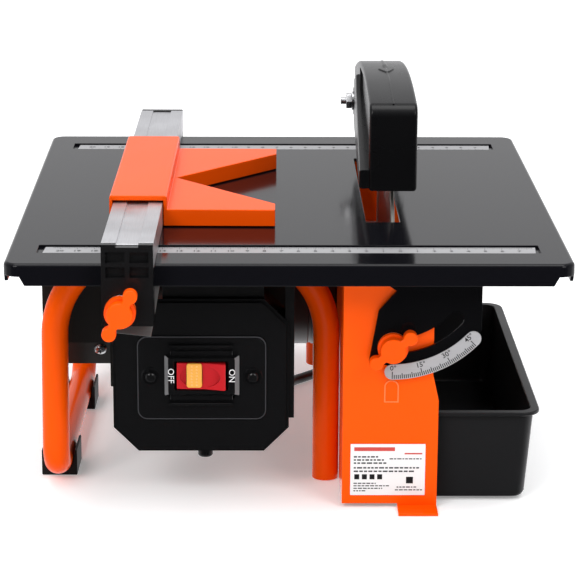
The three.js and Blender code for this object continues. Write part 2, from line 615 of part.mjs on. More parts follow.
const LOCK_Z = PIVOT_Z - LOCK_RADIUS;
const LOCK_SEAT = QUAD_FRONT - GAP;
place('lock_knob_front', lobedKnob([PIVOT_X, LOCK_SEAT - KNOB.total, LOCK_Z], 0.66, 1, KNOB), orangePlastic);
place('lock_stud_front', join(
  disc(2.6, LOCK_SEAT - KNOB.total + 3.5, HOUSING_FRONT + 5, 'y', [PIVOT_X, 0, LOCK_Z], 12),
  disc(5, HOUSING_FRONT + PLATE + GAP, HOUSING_FRONT + 5, 'y', [PIVOT_X, 0, LOCK_Z], 6),
), steel);
const REAR_SEAT = QUAD_REAR + QUADRANT_SHEET + GAP;
place('lock_knob_rear', lobedKnob([PIVOT_X, REAR_SEAT + KNOB.total, LOCK_Z], -0.66, -1, KNOB), orangePlastic);
place('lock_stud_rear', join(
  disc(2.6, HOUSING_REAR - 5, REAR_SEAT + KNOB.total - 3.5, 'y', [PIVOT_X, 0, LOCK_Z], 12),
  disc(5, HOUSING_REAR - 5, HOUSING_REAR - PLATE - GAP, 'y', [PIVOT_X, 0, LOCK_Z], 6),
), steel);

// ---- rip fence ----
const fenceTurn = new THREE.Group();
fenceTurn.position.x = FENCE_X;
fenceTurn.rotation.z = FENCE_SKEW;
const fenceParts = new THREE.Group();
fenceParts.position.x = -FENCE_X;
fenceTurn.add(fenceParts);
machine.add(fenceTurn);

function fenceRail() {
  const z = TABLE_Z + 0.4;
  const left = FENCE_X - FENCE_HALF;
  const right = FENCE_X + FENCE_HALF;
  const top = TABLE_Z + FENCE_HEIGHT;
  const profile = outline([
    [left, z], [right, z], [right, top], [right - 8.6, top], [right - 8.6, top - 1], [left + 8.6, top - 1],
    [left + 8.6, top], [left, top],
  ]);
  const hollow = roundedRect(left + 2, right - 2, z + 2, top - 3, 1);
  profile.holes.push(hollow);
  return alongY(profile, FENCE_FRONT + GAP, FENCE_REAR, 2);
}
place('fence_rail', fenceRail(), aluminium, fenceParts);

const CLAMP = { x0: FENCE_X - 14.8, x1: FENCE_X + 14.8 };
function fenceClampFront() {
  const face = FENCE_FRONT - 5;
  const faceTop = TABLE_Z + FENCE_HEIGHT;
  const body = join(
    block(CLAMP.x0, CLAMP.x1, face, FENCE_FRONT, TABLE_Z - 33, faceTop),
    block(CLAMP.x0, CLAMP.x1, face, -TABLE_HALF_Y - 0.4, TABLE_Z - 33, TABLE_Z - 0.2),
  );
  const pockets = [];
  for (const [u0, u1] of [[-12.3, -1.4], [1.4, 12.3]]) {
    for (const [v0, v1] of [[-4.4, 1.9], [4.3, 10.7]]) {
      pockets.push(block(FENCE_X + u0, FENCE_X + u1, face - 1, face + 2.6, TABLE_Z + v0, TABLE_Z + v1));
    }
  }
  const dip = block(FENCE_X - 6.5, FENCE_X + 6.5, face - 1, FENCE_FRONT + 1, faceTop - 1.6, faceTop + 1);
  return cut(body, dip, ...pockets, disc(3.1, -220, -150, 'y', [FENCE_X - 4.3, 0, TABLE_Z - 23.4], 16));
}
place('fence_clamp_front', fenceClampFront(), blackPlastic, fenceParts);

function hookPlate() {
  const shape = outline([[-98, -8], [-72.6, -8], [-72.6, -14.5], [-77.7, -44], [-98, -41.8]]
    .map(([x, z]) => [x, TABLE_Z + z]));
  const plate = alongY(shape, -TABLE_HALF_Y + FLANGE_SHEET + 0.4, -TABLE_HALF_Y + FLANGE_SHEET + 2.4);
  return cut(plate, disc(3.1, -200, -150, 'y', [FENCE_X - 4.3, 0, TABLE_Z - 23.4], 16));
}
place('fence_hook_plate', hookPlate(), steel, fenceParts);

const CLAMP_SEAT = FENCE_FRONT - 5 - GAP;
const FENCE_KNOB = { ...KNOB, total: CLAMP_SEAT - KNOB_FRONT_Y };
place('fence_knob', lobedKnob([FENCE_X - 4.3, KNOB_FRONT_Y, TABLE_Z - 23.4], 1.07, 1, FENCE_KNOB),
  orangePlastic,
  fenceParts);
place('fence_screw', join(
  disc(2.6, KNOB_FRONT_Y + 3.5, -TABLE_HALF_Y + 10, 'y', [FENCE_X - 4.3, 0, TABLE_Z - 23.4], 12),
  disc(5, -TABLE_HALF_Y + 4.7, -TABLE_HALF_Y + 9, 'y', [FENCE_X - 4.3, 0, TABLE_Z - 23.4], 6),
), steel, fenceParts);

function fenceClampRear() {
  const inner = TABLE_HALF_Y - FLANGE_SHEET;
  return join(
    block(CLAMP.x0, CLAMP.x1, FENCE_REAR + GAP, CAP_REAR_Y, TABLE_Z - 30, TABLE_Z + FENCE_HEIGHT),
    block(CLAMP.x0, CLAMP.x1, TABLE_HALF_Y + 0.4, CAP_REAR_Y, TABLE_Z - 30, TABLE_Z - 0.2),
    block(CLAMP.x0, CLAMP.x1, inner - 5, CAP_REAR_Y, TABLE_Z - 30, TABLE_Z - FLANGE_DEPTH - 2),
    block(CLAMP.x0, CLAMP.x1, inner - 5, inner - 0.6, TABLE_Z - 30, TABLE_Z - 6),
  );
}
place('fence_clamp_rear', fenceClampRear(), blackPlastic, fenceParts);

// ---- sliding 45 degree guide ----
function angleGuide() {
  const y0 = -91;
  const y1 = 86.5;
  const apexX = -70.3;
  const tip = 17;
  const right = -6.5;
  const left = FENCE_X - FENCE_HALF - 0.5;
  const inner = FENCE_X + FENCE_HALF + 0.5;
  const saddle = new THREE.Shape();
  const top = TABLE_Z + 19.4;
  const roof = TABLE_Z + FENCE_HEIGHT + 1.4;
  saddle.moveTo(left - 1.9, TABLE_Z + 0.6);
  saddle.lineTo(left, TABLE_Z + 0.6);
  saddle.lineTo(left, roof);
  saddle.lineTo(inner, roof);
  saddle.lineTo(inner, TABLE_Z + 0.6);
  saddle.lineTo(inner + 2.2, TABLE_Z + 0.6);
  saddle.lineTo(inner + 2.2, top - 1);
  saddle.lineTo(inner + 1.2, top);
  saddle.lineTo(left - 0.9, top);
  saddle.lineTo(left - 1.9, top - 1);
  saddle.closePath();
  const arms = outline([
    [inner + 0.6, y0], [right, y0], [right, y0 + tip],
    [apexX, (y0 + y1) / 2 - 1], [right, y1 - tip], [right, y1],
    [inner + 0.6, y1],
  ]);
  return join(alongY(saddle, y0, y1), alongZ(arms, TABLE_Z + 0.6, TABLE_Z + 11));
}
place('angle_guide', angleGuide(), orangePlastic, fenceParts);

// ---- switch box ----
function octagon(inset) {
  const c = COVER.chamfer - inset * 0.41;
  const [x0, x1, z0, z1] = [COVER.x0 + inset, COVER.x1 - inset, COVER.z0 + inset, COVER.z1 - inset];
  return outline([
    [x0 + c, z0], [x1 - c, z0], [x1, z0 + c], [x1, z1 - c],
    [x1 - c, z1], [x0 + c, z1], [x0, z1 - c], [x0, z0 + c],
  ]);
}

const COVER_BACK = COVER.y + COVER.depth;
function switchBox() {
  const front = COVER_BACK + GAP;
  const shell = join(
    alongY(octagon(0.8), front, BOX_REAR),
    block(-2, 3.6, front, -112, TABLE_Z - 107, TABLE_Z - 15),
    block(-75, -14.5, front + 1, -112, TABLE_Z - 34, TABLE_Z - 24),
    block(-90, -40, BOX_REAR - 1, -82.2, TABLE_Z - 100, TABLE_Z - 34),
  );
  const room = join(
    alongY(octagon(3.2), front - 1, BOX_REAR - 2.4),
    block(-87.6, -42.4, BOX_REAR - 4, -84.6, TABLE_Z - 97.6, TABLE_Z - 36.4),
  );
  const resetHole = disc(5.1, 20, 50, 'z', [-50, -129, 0], 16);
  const cordHole = disc(6.1, -115, -100, 'y', [-25, 0, COVER.z0 + 14], 16);
  return cut(shell, room, resetHole, cordHole);
}
place('switch_box', switchBox(), blackPlastic);

const COVER_SCREWS = [-82.2, -21.2];
const BEZEL = { x0: -74.2, x1: -29, z0: TABLE_Z - 99.2, z1: TABLE_Z - 59.8 };
function switchCover() {
  const plate = join(
    alongY(octagon(0), COVER_BACK - 1.6, COVER_BACK),
    alongY(octagon(2), COVER.y, COVER_BACK),
    alongY(roundedRect(-90.2, -13.3, TABLE_Z - 106.2, TABLE_Z - 54.5, 6), COVER.y - 1.2, COVER_BACK),
  );
  return cut(plate,
    block(BEZEL.x0 + 3, BEZEL.x1 - 3, -160, -130, BEZEL.z0 + 6, BEZEL.z1 - 6),
    ...COVER_SCREWS.map((x) => disc(2.4, -160, -130, 'y', [x, 0, TABLE_Z - 79.4], 12)));
}
place('switch_cover', switchCover(), blackPlastic);

function coverScrew(x) {
  const head = COVER.y - 1.5;
  const profile = [
    [0, head - 2.6], [2, head - 2.2], [3.4, head - 1], [3.7, head], [2.1, head], [2.1, -134], [0, -134],
  ];
  return turned(profile, 'y', [x, 0, TABLE_Z - 79.4], 16);
}
place('cover_screw_left', coverScrew(COVER_SCREWS[0]), blackPaint);
place('cover_screw_right', coverScrew(COVER_SCREWS[1]), blackPaint);

function switchBody() {
  const [x0, x1, z0, z1] = [BEZEL.x0 + 3.4, BEZEL.x1 - 3.4, BEZEL.z0 + 6.4, BEZEL.z1 - 6.4];
  const face = ROCKER_Y;
  const well = block(ROCKER_X - ROCKER_HALF_X - 1.2, ROCKER_X + ROCKER_HALF_X + 1.2, face - 5, face + 11.6,
    ROCKER_Z - ROCKER_HALF_Z - 0.7, ROCKER_Z + ROCKER_HALF_Z + 0.7);
  const rim = block(BEZEL.x0, BEZEL.x1, face - 3, face, BEZEL.z0 + 2, BEZEL.z1 - 2);
  return cut(join(rim, block(x0, x1, face - 1, -114, z0, z1)), well);
}
place('switch_body', switchBody(), blackPlastic);

// Rocker with its right half raised in the OFF position; it swings about a vertical axis in its face.
function rockerPaddle() {
  const y = (out) => ROCKER_Y - out;
  const shape = outline([
    [ROCKER_X - ROCKER_HALF_X + 0.4, y(2.6)], [ROCKER_X + 1.4, y(2.9)],
    [ROCKER_X + ROCKER_HALF_X - 1.4, y(6.2)],
    [ROCKER_X + ROCKER_HALF_X - 0.3, y(5.4)], [ROCKER_X + ROCKER_HALF_X - 0.6, y(-1)], [ROCKER_X + 5, y(-7)],
    [ROCKER_X - 5, y(-7)], [ROCKER_X - ROCKER_HALF_X + 0.6, y(-1)],
  ]);
  const paddle = alongZ(shape, ROCKER_Z - ROCKER_HALF_Z, ROCKER_Z + ROCKER_HALF_Z);
  const keyway = block(ROCKER_X - 8.9, ROCKER_X + 0.9, -160, ROCKER_Y + 4, ROCKER_Z - 4.3, ROCKER_Z + 4.3);
  return cut(paddle, keyway);
}
place('rocker', rockerPaddle(), redPlastic);

function safetyKey() {
  const front = ROCKER_Y - 5.2;
  const x0 = ROCKER_X - 8.6;
  const x1 = ROCKER_X + 0.6;
  return join(
    alongY(roundedRect(x0, x1, ROCKER_Z - 6.3, ROCKER_Z + 8.8, 1.6), front, ROCKER_Y - 3.2, 3),
    block(x0, x1, front + 1, ROCKER_Y + 3.7, ROCKER_Z - 4, ROCKER_Z + 4),
  );
}
place('safety_key', safetyKey(), yellowPlastic);

place('reset_button', turned([
  [0, COVER.z0 - 6.8], [3.6, COVER.z0 - 6.8], [4.7, COVER.z0 - 5.4],
  [4.7, COVER.z0 + 3.6], [6.4, COVER.z0 + 3.6],
  [6.4, COVER.z0 + 5.4], [0, COVER.z0 + 5.4],
], 'z', [-50, -129, 0], 16), blackPlastic);

place('run_capacitor', disc(11, -28, 14, 'z', [-64, -96.5, TABLE_Z - 68], 16), finish(0xd8d8d4, 0.5, 0));

// ---- water tray ----
function drafted(shape, z0, z1, draft) {
  const geometry = extrude(shape, z1 - z0, 3);
  const position = geometry.attributes.position;
  const cx = (TRAY.x0 + TRAY.x1) / 2;
  const cy = (TRAY.y0 + TRAY.y1) / 2;
  const halfX = (TRAY.x1 - TRAY.x0) / 2;
  const halfY = (TRAY.y1 - TRAY.y0) / 2;
  for (let i = 0; i < position.count; i += 1) {
    const inward = draft * (1 - position.getZ(i) / (z1 - z0));
    position.setX(i, cx + (position.getX(i) - cx) * (1 - inward / halfX));
    position.setY(i, cy + (position.getY(i) - cy) * (1 - inward / halfY));
  }
  return solid(geometry.translate(0, 0, z0));
}

function waterTray() {
  const { x0, x1, y0, y1, z0, z1, wall, lip, draft } = TRAY;
  const plan = (inset) =>
    roundedRect(x0 + inset, x1 - inset, y0 + inset, y1 - inset, Math.max(1.5, 11 - inset));
  return cut(
    join(drafted(plan(lip), z0, z1, draft), alongZ(plan(0), z1 - 2.4, z1, 3)),
    drafted(plan(lip + wall), z0 + wall, z1 + 1, draft),
  );
}
place('water_tray', waterTray(), blackPlastic);

// ---- mains lead ----
const GLAND_AT = at(-25, BOX_REAR, COVER.z0 + 14);
function strainRelief() {
  return turned([
    [0, -2.6], [5.6, -2.6], [5.6, GAP], [8, GAP], [8, 3.4], [6.2, 4.4], [4.4, 30], [0, 30],
  ], 'y', GLAND_AT.toArray(), 16);
}
place('strain_relief', strainRelief(), rubber);

// From the strain relief down to the ground, under the motor and round the rear corner of the housing.
const CORD_ROUTE = [
  [-25, -76.6, 48], [-25, -66, 47.5], [-25, -55, 44.6], [-25, -44, 38.2], [-25, -34, 29], [-24.8, -25, 19.6],
  [-24, -15, 11.4], [-22.6, -4, 6.2], [-20.4, 8, 4], [-17, 22, 3.5], [-12.4, 38, 3.5], [-6.6, 56, 3.5],
  [-0.4, 75, 3.5], [7, 91, 3.5], [14.6, 99.4, 3.5], [21.6, 107, 3.5], [28.4, 114.6, 3.5], [36.6, 121.2, 3.5],
  [47, 125.4, 3.5], [59, 126.8, 3.5], [72.8, 126.8, 3.5],
];
// From the top of the coil to the plug that lies on it.
const PLUG_Z = COIL.layers * 2 * CORD_RADIUS + 9;
const CORD_END_ROUTE = [
  [54.4, 165, 17.3], [55.6, 158, 17.4], [58.6, 151.4, 17.9], [63.4, 146, 19], [69.4, 142.6, 20.6],
  [76, 141.2, PLUG_Z], [80.6, 141, PLUG_Z],
];
function cordTube(points, steps) {
  const curve = new THREE.CatmullRomCurve3(points.map(([x, y, z]) => at(x, y, z)), false, 'centripetal');
  return roundBar(curve, CORD_RADIUS, steps, 4);
}
place('mains_cord', cordTube(CORD_ROUTE, 20), rubber);
place('mains_cord_end', cordTube(CORD_END_ROUTE, 6), rubber);

const COIL_HALF = COIL.bands * CORD_RADIUS;
const COIL_TOP = COIL.layers * 2 * CORD_RADIUS;
place('cord_coil', ring(COIL.turnRadius - COIL_HALF, COIL.turnRadius + COIL_HALF, 0.1, COIL_TOP,
  'z', [COIL.x, COIL.y, 0], 24), rubber);

function mainsPlug() {
  const y = 141;
  const neck = turned([[0, 81], [4.2, 81], [6.6, 95], [0, 95]], 'x', [0, y, PLUG_Z], 12);
  const body = alongX(roundedRect(y - 12.5, y + 12.5, PLUG_Z - 8.6, PLUG_Z + 8.6, 6), 94, 130, 3);
  const pins = [-9.5, 9.5].map((v) => disc(1.9, 129, 146, 'x', [0, y + v, PLUG_Z], 8));
  return join(body, neck, ...pins);
}
place('mains_plug', mainsPlug(), rubber);

export default machine;
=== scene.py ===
"""Looks of the table-top tile cutter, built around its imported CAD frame.

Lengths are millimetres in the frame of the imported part; piece() scales each finished mesh to metres.
"""
import json
import math
import random

import bmesh
import bpy
from mathutils import Matrix, Vector


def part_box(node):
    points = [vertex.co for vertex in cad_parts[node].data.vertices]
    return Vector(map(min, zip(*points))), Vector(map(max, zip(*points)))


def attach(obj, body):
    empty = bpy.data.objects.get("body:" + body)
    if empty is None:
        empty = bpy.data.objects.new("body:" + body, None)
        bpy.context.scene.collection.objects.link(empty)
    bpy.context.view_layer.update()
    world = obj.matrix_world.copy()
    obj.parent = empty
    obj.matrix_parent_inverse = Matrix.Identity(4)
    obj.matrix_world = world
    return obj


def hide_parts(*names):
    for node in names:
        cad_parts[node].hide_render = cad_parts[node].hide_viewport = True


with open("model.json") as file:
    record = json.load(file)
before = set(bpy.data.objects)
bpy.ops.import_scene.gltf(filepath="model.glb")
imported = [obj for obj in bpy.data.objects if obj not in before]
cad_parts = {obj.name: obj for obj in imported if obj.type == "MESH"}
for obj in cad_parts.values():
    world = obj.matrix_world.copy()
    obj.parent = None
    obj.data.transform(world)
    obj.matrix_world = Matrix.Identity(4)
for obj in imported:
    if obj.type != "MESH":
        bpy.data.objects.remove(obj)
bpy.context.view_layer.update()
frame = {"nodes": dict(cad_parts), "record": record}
MM = 0.001
NODES = frame["nodes"]


def box_mm(node):
    low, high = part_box(node)
    return low / MM, high / MM


# ---------------------------------------------------------------- driving sizes, from the frame
TABLE_LOW, TABLE_HIGH = box_mm("table_top")
TABLE_Z = TABLE_HIGH.z
BLADE_LOW, BLADE_HIGH = box_mm("diamond_blade")
BLADE = (BLADE_LOW + BLADE_HIGH) / 2
BLADE_RADIUS = (BLADE_HIGH.y - BLADE_LOW.y) / 2
SHIFT_Y = (TABLE_LOW.y + TABLE_HIGH.y) / 2          # the table is centred on this line across the machine
PIVOT = Vector((61.5, SHIFT_Y, TABLE_Z - 7.5))      # tilt axis, along Y
LOCK_RADIUS = 50.0
HOUSING_FRONT = SHIFT_Y - 149.0
SLOT_LEFT, SLOT_RIGHT = 48.3, 69.5                  # blade slot of the table
SLOT_FRONT, SLOT_REAR = SHIFT_Y - 78, SHIFT_Y + 105.0
BOLT_Y, BOLT_Z = SHIFT_Y + 118, TABLE_Z + 38        # bolt that the guard turns on


# ---------------------------------------------------------------- mesh helpers
def new_object(name, mesh, body, replaces=()):
    obj = bpy.data.objects.new(name, mesh)
    bpy.context.scene.collection.objects.link(obj)
    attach(obj, body)
    if replaces:
        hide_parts(*replaces)
    return obj


def smooth(mesh, angle=32.0):
    for poly in mesh.polygons:
        poly.use_smooth = True
    mesh.set_sharp_from_angle(angle=math.radians(angle))


def piece(name, bm, material, body, replaces=(), angle=32.0):
    """Finishes a bmesh in millimetres as a named piece in metres."""
    bmesh.ops.remove_doubles(bm, verts=bm.verts, dist=1e-4)
    bmesh.ops.recalc_face_normals(bm, faces=bm.faces)
    bmesh.ops.scale(bm, vec=(MM, MM, MM), verts=bm.verts)
    mesh = bpy.data.meshes.new(name)
    bm.to_mesh(mesh)
    bm.free()
    smooth(mesh, angle)
    mesh.materials.append(material)
    obj = new_object(name, mesh, body, replaces)
    even = obj.modifiers.new("even_shading", "WEIGHTED_NORMAL")
    even.keep_sharp = True
    return obj


def moved(bm, by):
    bmesh.ops.translate(bm, vec=by, verts=bm.verts)
    return bm


def turned(bm, degrees, axis):
    """Turns a bmesh about the origin."""
    turn = Matrix.Rotation(math.radians(degrees), 3, axis)
    bmesh.ops.rotate(bm, cent=(0, 0, 0), matrix=turn, verts=bm.verts)
    return bm


def add_mesh(target, source):
    """Adds the faces of one bmesh to another and frees it."""
    mesh = bpy.data.meshes.new("part")
    source.to_mesh(mesh)
    source.free()
    target.from_mesh(mesh)
    bpy.data.meshes.remove(mesh)
    return target


def joined(*parts):
    total = bmesh.new()
    for part in parts:
        add_mesh(total, part)
    return total


def boolean(bm, cutter, operation="DIFFERENCE"):
    """Exact boolean of two closed bmeshes; both are used up."""
    objects = []
    for part in (bm, cutter):
        bmesh.ops.recalc_face_normals(part, faces=part.faces)
        mesh = bpy.data.meshes.new("tool")
        part.to_mesh(mesh)
        part.free()
        obj = bpy.data.objects.new("tool", mesh)
        bpy.context.scene.collection.objects.link(obj)
        objects.append(obj)
    base, tool = objects
    modifier = base.modifiers.new("cut", "BOOLEAN")
    modifier.operation = operation
    modifier.solver = "EXACT"
    modifier.object = tool
    result = bmesh.new()
    result.from_object(base, bpy.context.evaluated_depsgraph_get())
    for obj in objects:
        data = obj.data
        bpy.data.objects.remove(obj)
        bpy.data.meshes.remove(data)
    bmesh.ops.remove_doubles(result, verts=result.verts, dist=1e-4)
    bmesh.ops.dissolve_limit(result, angle_limit=math.radians(0.4), verts=result.verts, edges=result.edges)
    return result


def bevel(bm, width, segments=2, angle=28.0, keep=None):
    """Rounds the edges whose faces meet at more than the given angle and whose middle passes keep."""
    limit = math.radians(angle)
    chosen = []
    for edge in bm.edges:
        if len(edge.link_faces) != 2 or edge.calc_face_angle(0.0) < limit:
            continue
        if keep is None or keep((edge.verts[0].co + edge.verts[1].co) / 2):
            chosen.append(edge)
    bmesh.ops.bevel(bm, geom=chosen, offset=width, segments=segments, profile=0.5, affect="EDGES",
                    clamp_overlap=True)
    return bm


AXES = {
    "x": lambda u, v, h: (h, u, v),
    "y": lambda u, v, h: (u, h, v),
    "z": lambda u, v, h: (u, v, h),
}


def prism(outline, axis, low, high):
    """Closed extrusion of an outline: (y, z) along x, (x, z) along y or (x, y) along z."""
    bm = bmesh.new()
    place = AXES[axis]
    rings = [[bm.verts.new(place(u, v, h)) for u, v in outline] for h in (low, high)]
    count = len(outline)
    for i in range(count):
        j = (i + 1) % count
        bm.faces.new((rings[0][i], rings[0][j], rings[1][j], rings[1][i]))
    bm.faces.new(rings[0][::-1])
    bm.faces.new(rings[1])
    bmesh.ops.recalc_face_normals(bm, faces=bm.faces)
    return bm


def block(x0, x1, y0, y1, z0, z1):
    return prism([(x0, y0), (x1, y0), (x1, y1), (x0, y1)], "z", z0, z1)


def arc(cx, cy, radius, start, end, steps):
    """Points on an arc, angles in degrees, both ends included."""
    points = []
    for i in range(steps + 1):
        a = math.radians(start + (end - start) * i / steps)
        points.append((cx + radius * math.cos(a), cy + radius * math.sin(a)))
    return points


def rounded_rect(u0, u1, v0, v1, r, steps=6):
    return (arc(u1 - r, v0 + r, r, -90, 0, steps) + arc(u1 - r, v1 - r, r, 0, 90, steps)
            + arc(u0 + r, v1 - r, r, 90, 180, steps) + arc(u0 + r, v0 + r, r, 180, 270, steps))


def lathe(profile, axis, centre, segments=64):
    """Turned piece. Profile points are (radius, distance along the axis), and the profile is closed
    by the axis or by its own first point."""
    bm = bmesh.new()
    place = AXES[axis]
    rings = []
    for radius, h in profile:
        if radius < 1e-6:
            rings.append([bm.verts.new(place(0, 0, h))])
            continue
        ring = []
        for i in range(segments):
            a = 2 * math.pi * i / segments
            ring.append(bm.verts.new(place(radius * math.cos(a), radius * math.sin(a), h)))
        rings.append(ring)
    for first, second in zip(rings, rings[1:]):
        for i in range(segments):
            j = (i + 1) % segments
            corners = [ring[k % len(ring)] for ring, k in ((first, i), (first, j), (second, j), (second, i))]
            unique = list(dict.fromkeys(corners))
            if len(unique) > 2:
                bm.faces.new(unique)
    moved(bm, centre)
    bmesh.ops.remove_doubles(bm, verts=bm.verts, dist=1e-5)
    bmesh.ops.recalc_face_normals(bm, faces=bm.faces)
    return bm


def loft(loops, cap_first=True, cap_last=True):
    """Skins loops of equal point counts in order; each loop is a list of (x, y, z)."""
    bm = bmesh.new()
    rings = [[bm.verts.new(point) for point in loop] for loop in loops]
    count = len(loops[0])
    for first, second in zip(rings, rings[1:]):
        for i in range(count):
            j = (i + 1) % count
            bm.faces.new((first[i], first[j], second[j], second[i]))
    if cap_first:
        bm.faces.new(rings[0][::-1])
    if cap_last:
        bm.faces.new(rings[-1])
    bmesh.ops.recalc_face_normals(bm, faces=bm.faces)
    return bm


def sweep(points, radius, sides=32, bore=0.0):
    """Round bar along points, without twist; with a bore it is a tube with open ends and a wall."""
    path = [Vector(p) for p in points]
    tangent = (path[1] - path[0]).normalized()
    side = tangent.orthogonal().normalized()
    frames = []
    for i, point in enumerate(path):
        ahead = path[min(i + 1, len(path) - 1)]
        behind = path[max(i - 1, 0)]
        tangent = (ahead - behind).normalized()
        side = (side - tangent * side.dot(tangent)).normalized()
        frames.append((point, side.copy(), tangent.cross(side)))

    def ring(frame_at, r):
        point, u, v = frame_at
        angles = [2 * math.pi * k / sides for k in range(sides)]
        return [tuple(point + u * (r * math.cos(a)) + v * (r * math.sin(a))) for a in angles]

    outer = [ring(f, radius) for f in frames]
    if not bore:
        return loft(outer)
    inner = [ring(f, bore) for f in frames]
    loops = outer + inner[::-1] + [outer[0]]
    return loft(loops, False, False)


def copy_node(node):
    """A bmesh of a CAD node in millimetres, with its coplanar triangles joined."""
    bm = bmesh.new()
    bm.from_mesh(NODES[node].data)
    bmesh.ops.scale(bm, vec=(1 / MM, 1 / MM, 1 / MM), verts=bm.verts)
    bmesh.ops.remove_doubles(bm, verts=bm.verts, dist=1e-3)
    bmesh.ops.dissolve_limit(bm, angle_limit=math.radians(0.4), verts=bm.verts, edges=bm.edges)
    return bm


BODY_OF = {}
for body_name, body_nodes in frame["record"]["behaviour"]["bodies"].items():
    for node_name in body_nodes:
        BODY_OF[node_name] = body_name


def refined(node, material, width, segments, angle):
    """A CAD node rebuilt with rounded edges, standing for the node."""
    bm = bevel(copy_node(node), width, segments, angle)
    piece(node + "_finish", bm, M[material], BODY_OF[node], [node])


# ---------------------------------------------------------------- camera at the viewer's place
def make_camera():
    pitch, yaw, roll = math.radians(15.52), math.radians(0.91), math.radians(0.3)
    forward = Vector((math.sin(yaw) * math.cos(pitch), math.cos(yaw) * math.cos(pitch), -math.sin(pitch)))
    level = Vector((math.cos(yaw), -math.sin(yaw), 0))
    upright = level.cross(forward)
    right = level * math.cos(roll) + upright * math.sin(roll)
    up = upright * math.cos(roll) - level * math.sin(roll)
    data = bpy.data.cameras.new("viewer")
    data.lens = 146.53
    data.sensor_width = 36.0
    data.clip_end = 50.0
    camera = bpy.data.objects.new("viewer", data)
    bpy.context.scene.collection.objects.link(camera)
    rotation = Matrix((right, up, -forward)).transposed().to_4x4()
    camera.matrix_world = Matrix.Translation(Vector((-0.02065, -1.4865, 0.5083))) @ rotation
    bpy.context.scene.camera = camera


make_camera()


# ---------------------------------------------------------------- materials
class Nodes:
    """Short names for building a Principled material from nodes."""

    def __init__(self, name, color, roughness, metallic=0.0, specular=0.5, coat=0.0, coat_roughness=0.05):
        self.material = bpy.data.materials.new(name)
        self.material.use_nodes = True
        self.tree = self.material.node_tree
        self.shader = self.tree.nodes["Principled BSDF"]
        self.shader.inputs["Base Color"].default_value = (*color, 1.0)
        self.shader.inputs["Roughness"].default_value = roughness
        self.shader.inputs["Metallic"].default_value = metallic
        self.shader.inputs["Specular IOR Level"].default_value = specular
        self.shader.inputs["Coat Weight"].default_value = coat
        self.shader.inputs["Coat Roughness"].default_value = coat_roughness
        self.place = self.add("ShaderNodeTexCoord").outputs["Object"]
        self.color = color
        self.roughness = roughness

    def add(self, kind, **settings):
        node = self.tree.nodes.new(kind)
        for key, value in settings.items():
            setattr(node, key, value)
        return node

    def link(self, source, target):
        self.tree.links.new(source, target)

    def stretched(self, scale):
        mapping = self.add("ShaderNodeMapping")
        mapping.inputs["Scale"].default_value = scale
        self.link(self.place, mapping.inputs["Vector"])
        return mapping.outputs["Vector"]

    def noise(self, scale, detail=2.0, roughness=0.5, vector=None):
        node = self.add("ShaderNodeTexNoise")
        node.inputs["Scale"].default_value = scale
        node.inputs["Detail"].default_value = detail
        node.inputs["Roughness"].default_value = roughness
        self.link(vector or self.place, node.inputs["Vector"])
        return node.outputs["Fac"]

    def ramp(self, source, low, high, start=0.35, end=0.65):
        node = self.add("ShaderNodeMapRange")
        node.inputs["From Min"].default_value = start
        node.inputs["From Max"].default_value = end
        node.inputs["To Min"].default_value = low
        node.inputs["To Max"].default_value = high
        self.link(source, node.inputs["Value"])
        return node.outputs["Result"]

    def tint(self, source, dark):
        """Varies the base colour between a darker shade and itself by a 0 to 1 value."""
        mix = self.add("ShaderNodeMix", data_type="RGBA")
        mix.inputs[6].default_value = (*dark, 1.0)
        mix.inputs[7].default_value = (*self.color, 1.0)
        self.link(source, mix.inputs[0])
        self.link(mix.outputs[2], self.shader.inputs["Base Color"])

    def rough(self, source, low, high, start=0.35, end=0.65):
        self.link(self.ramp(source, low, high, start, end), self.shader.inputs["Roughness"])

    def bump(self, source, distance):
        node = self.add("ShaderNodeBump")
        node.inputs["Strength"].default_value = 1.0
        node.inputs["Distance"].default_value = distance
        self.link(source, node.inputs["Height"])
        self.link(node.outputs["Normal"], self.shader.inputs["Normal"])


def shade(color, factor):
    return tuple(c * factor for c in color)


def paint(name, color, roughness, specular=0.5, coat=0.0, peel=0.00003, peel_scale=420.0):
    """Stoved or powder-coated paint: slight orange peel and a faint change of tone."""
    m = Nodes(name, color, roughness, 0.0, specular, coat, 0.06)
    m.tint(m.ramp(m.noise(9.0, 2.0), 0.0, 1.0, 0.1, 0.9), shade(color, 0.96))
    m.rough(m.noise(22.0, 2.0), roughness * 0.92, roughness * 1.1, 0.1, 0.9)
    m.bump(m.noise(peel_scale, 3.0, 0.55), peel)
    return m.material


def plastic(name, color, roughness, grain=0.00004, grain_scale=1500.0, specular=0.4):
    """Injection-moulded plastic with a fine eroded grain."""
    m = Nodes(name, color, roughness, 0.0, specular)
    m.tint(m.ramp(m.noise(14.0, 2.0), 0.0, 1.0, 0.1, 0.9), shade(color, 0.9))
    m.rough(m.noise(30.0, 2.0), roughness * 0.92, roughness * 1.1, 0.1, 0.9)
    m.bump(m.noise(grain_scale, 2.0, 0.6), grain)
    return m.material


def ink(name, color, roughness=0.5):
    """Printed or moulded mark, almost without grain."""
    return plastic(name, color, roughness, 0.000002, 700.0, 0.3)


def metal(name, color, roughness, along=None, streak=0.00002):
    """Ground, drawn or plated metal; along stretches the fine lines down one axis."""
    m = Nodes(name, color, roughness, 1.0)
    scale = {"x": (0.02, 1, 1), "y": (1, 0.02, 1), "z": (1, 1, 0.02), None: (1, 1, 1)}[along]
    lines = m.noise(2600.0 if along else 900.0, 3.0, 0.6, m.stretched(scale))
    m.tint(m.ramp(lines, 0.0, 1.0, 0.3, 0.7), shade(color, 0.88))
    m.rough(m.noise(30.0, 4.0), roughness * 0.85, roughness * 1.25)
    m.bump(lines, streak)
    return m.material


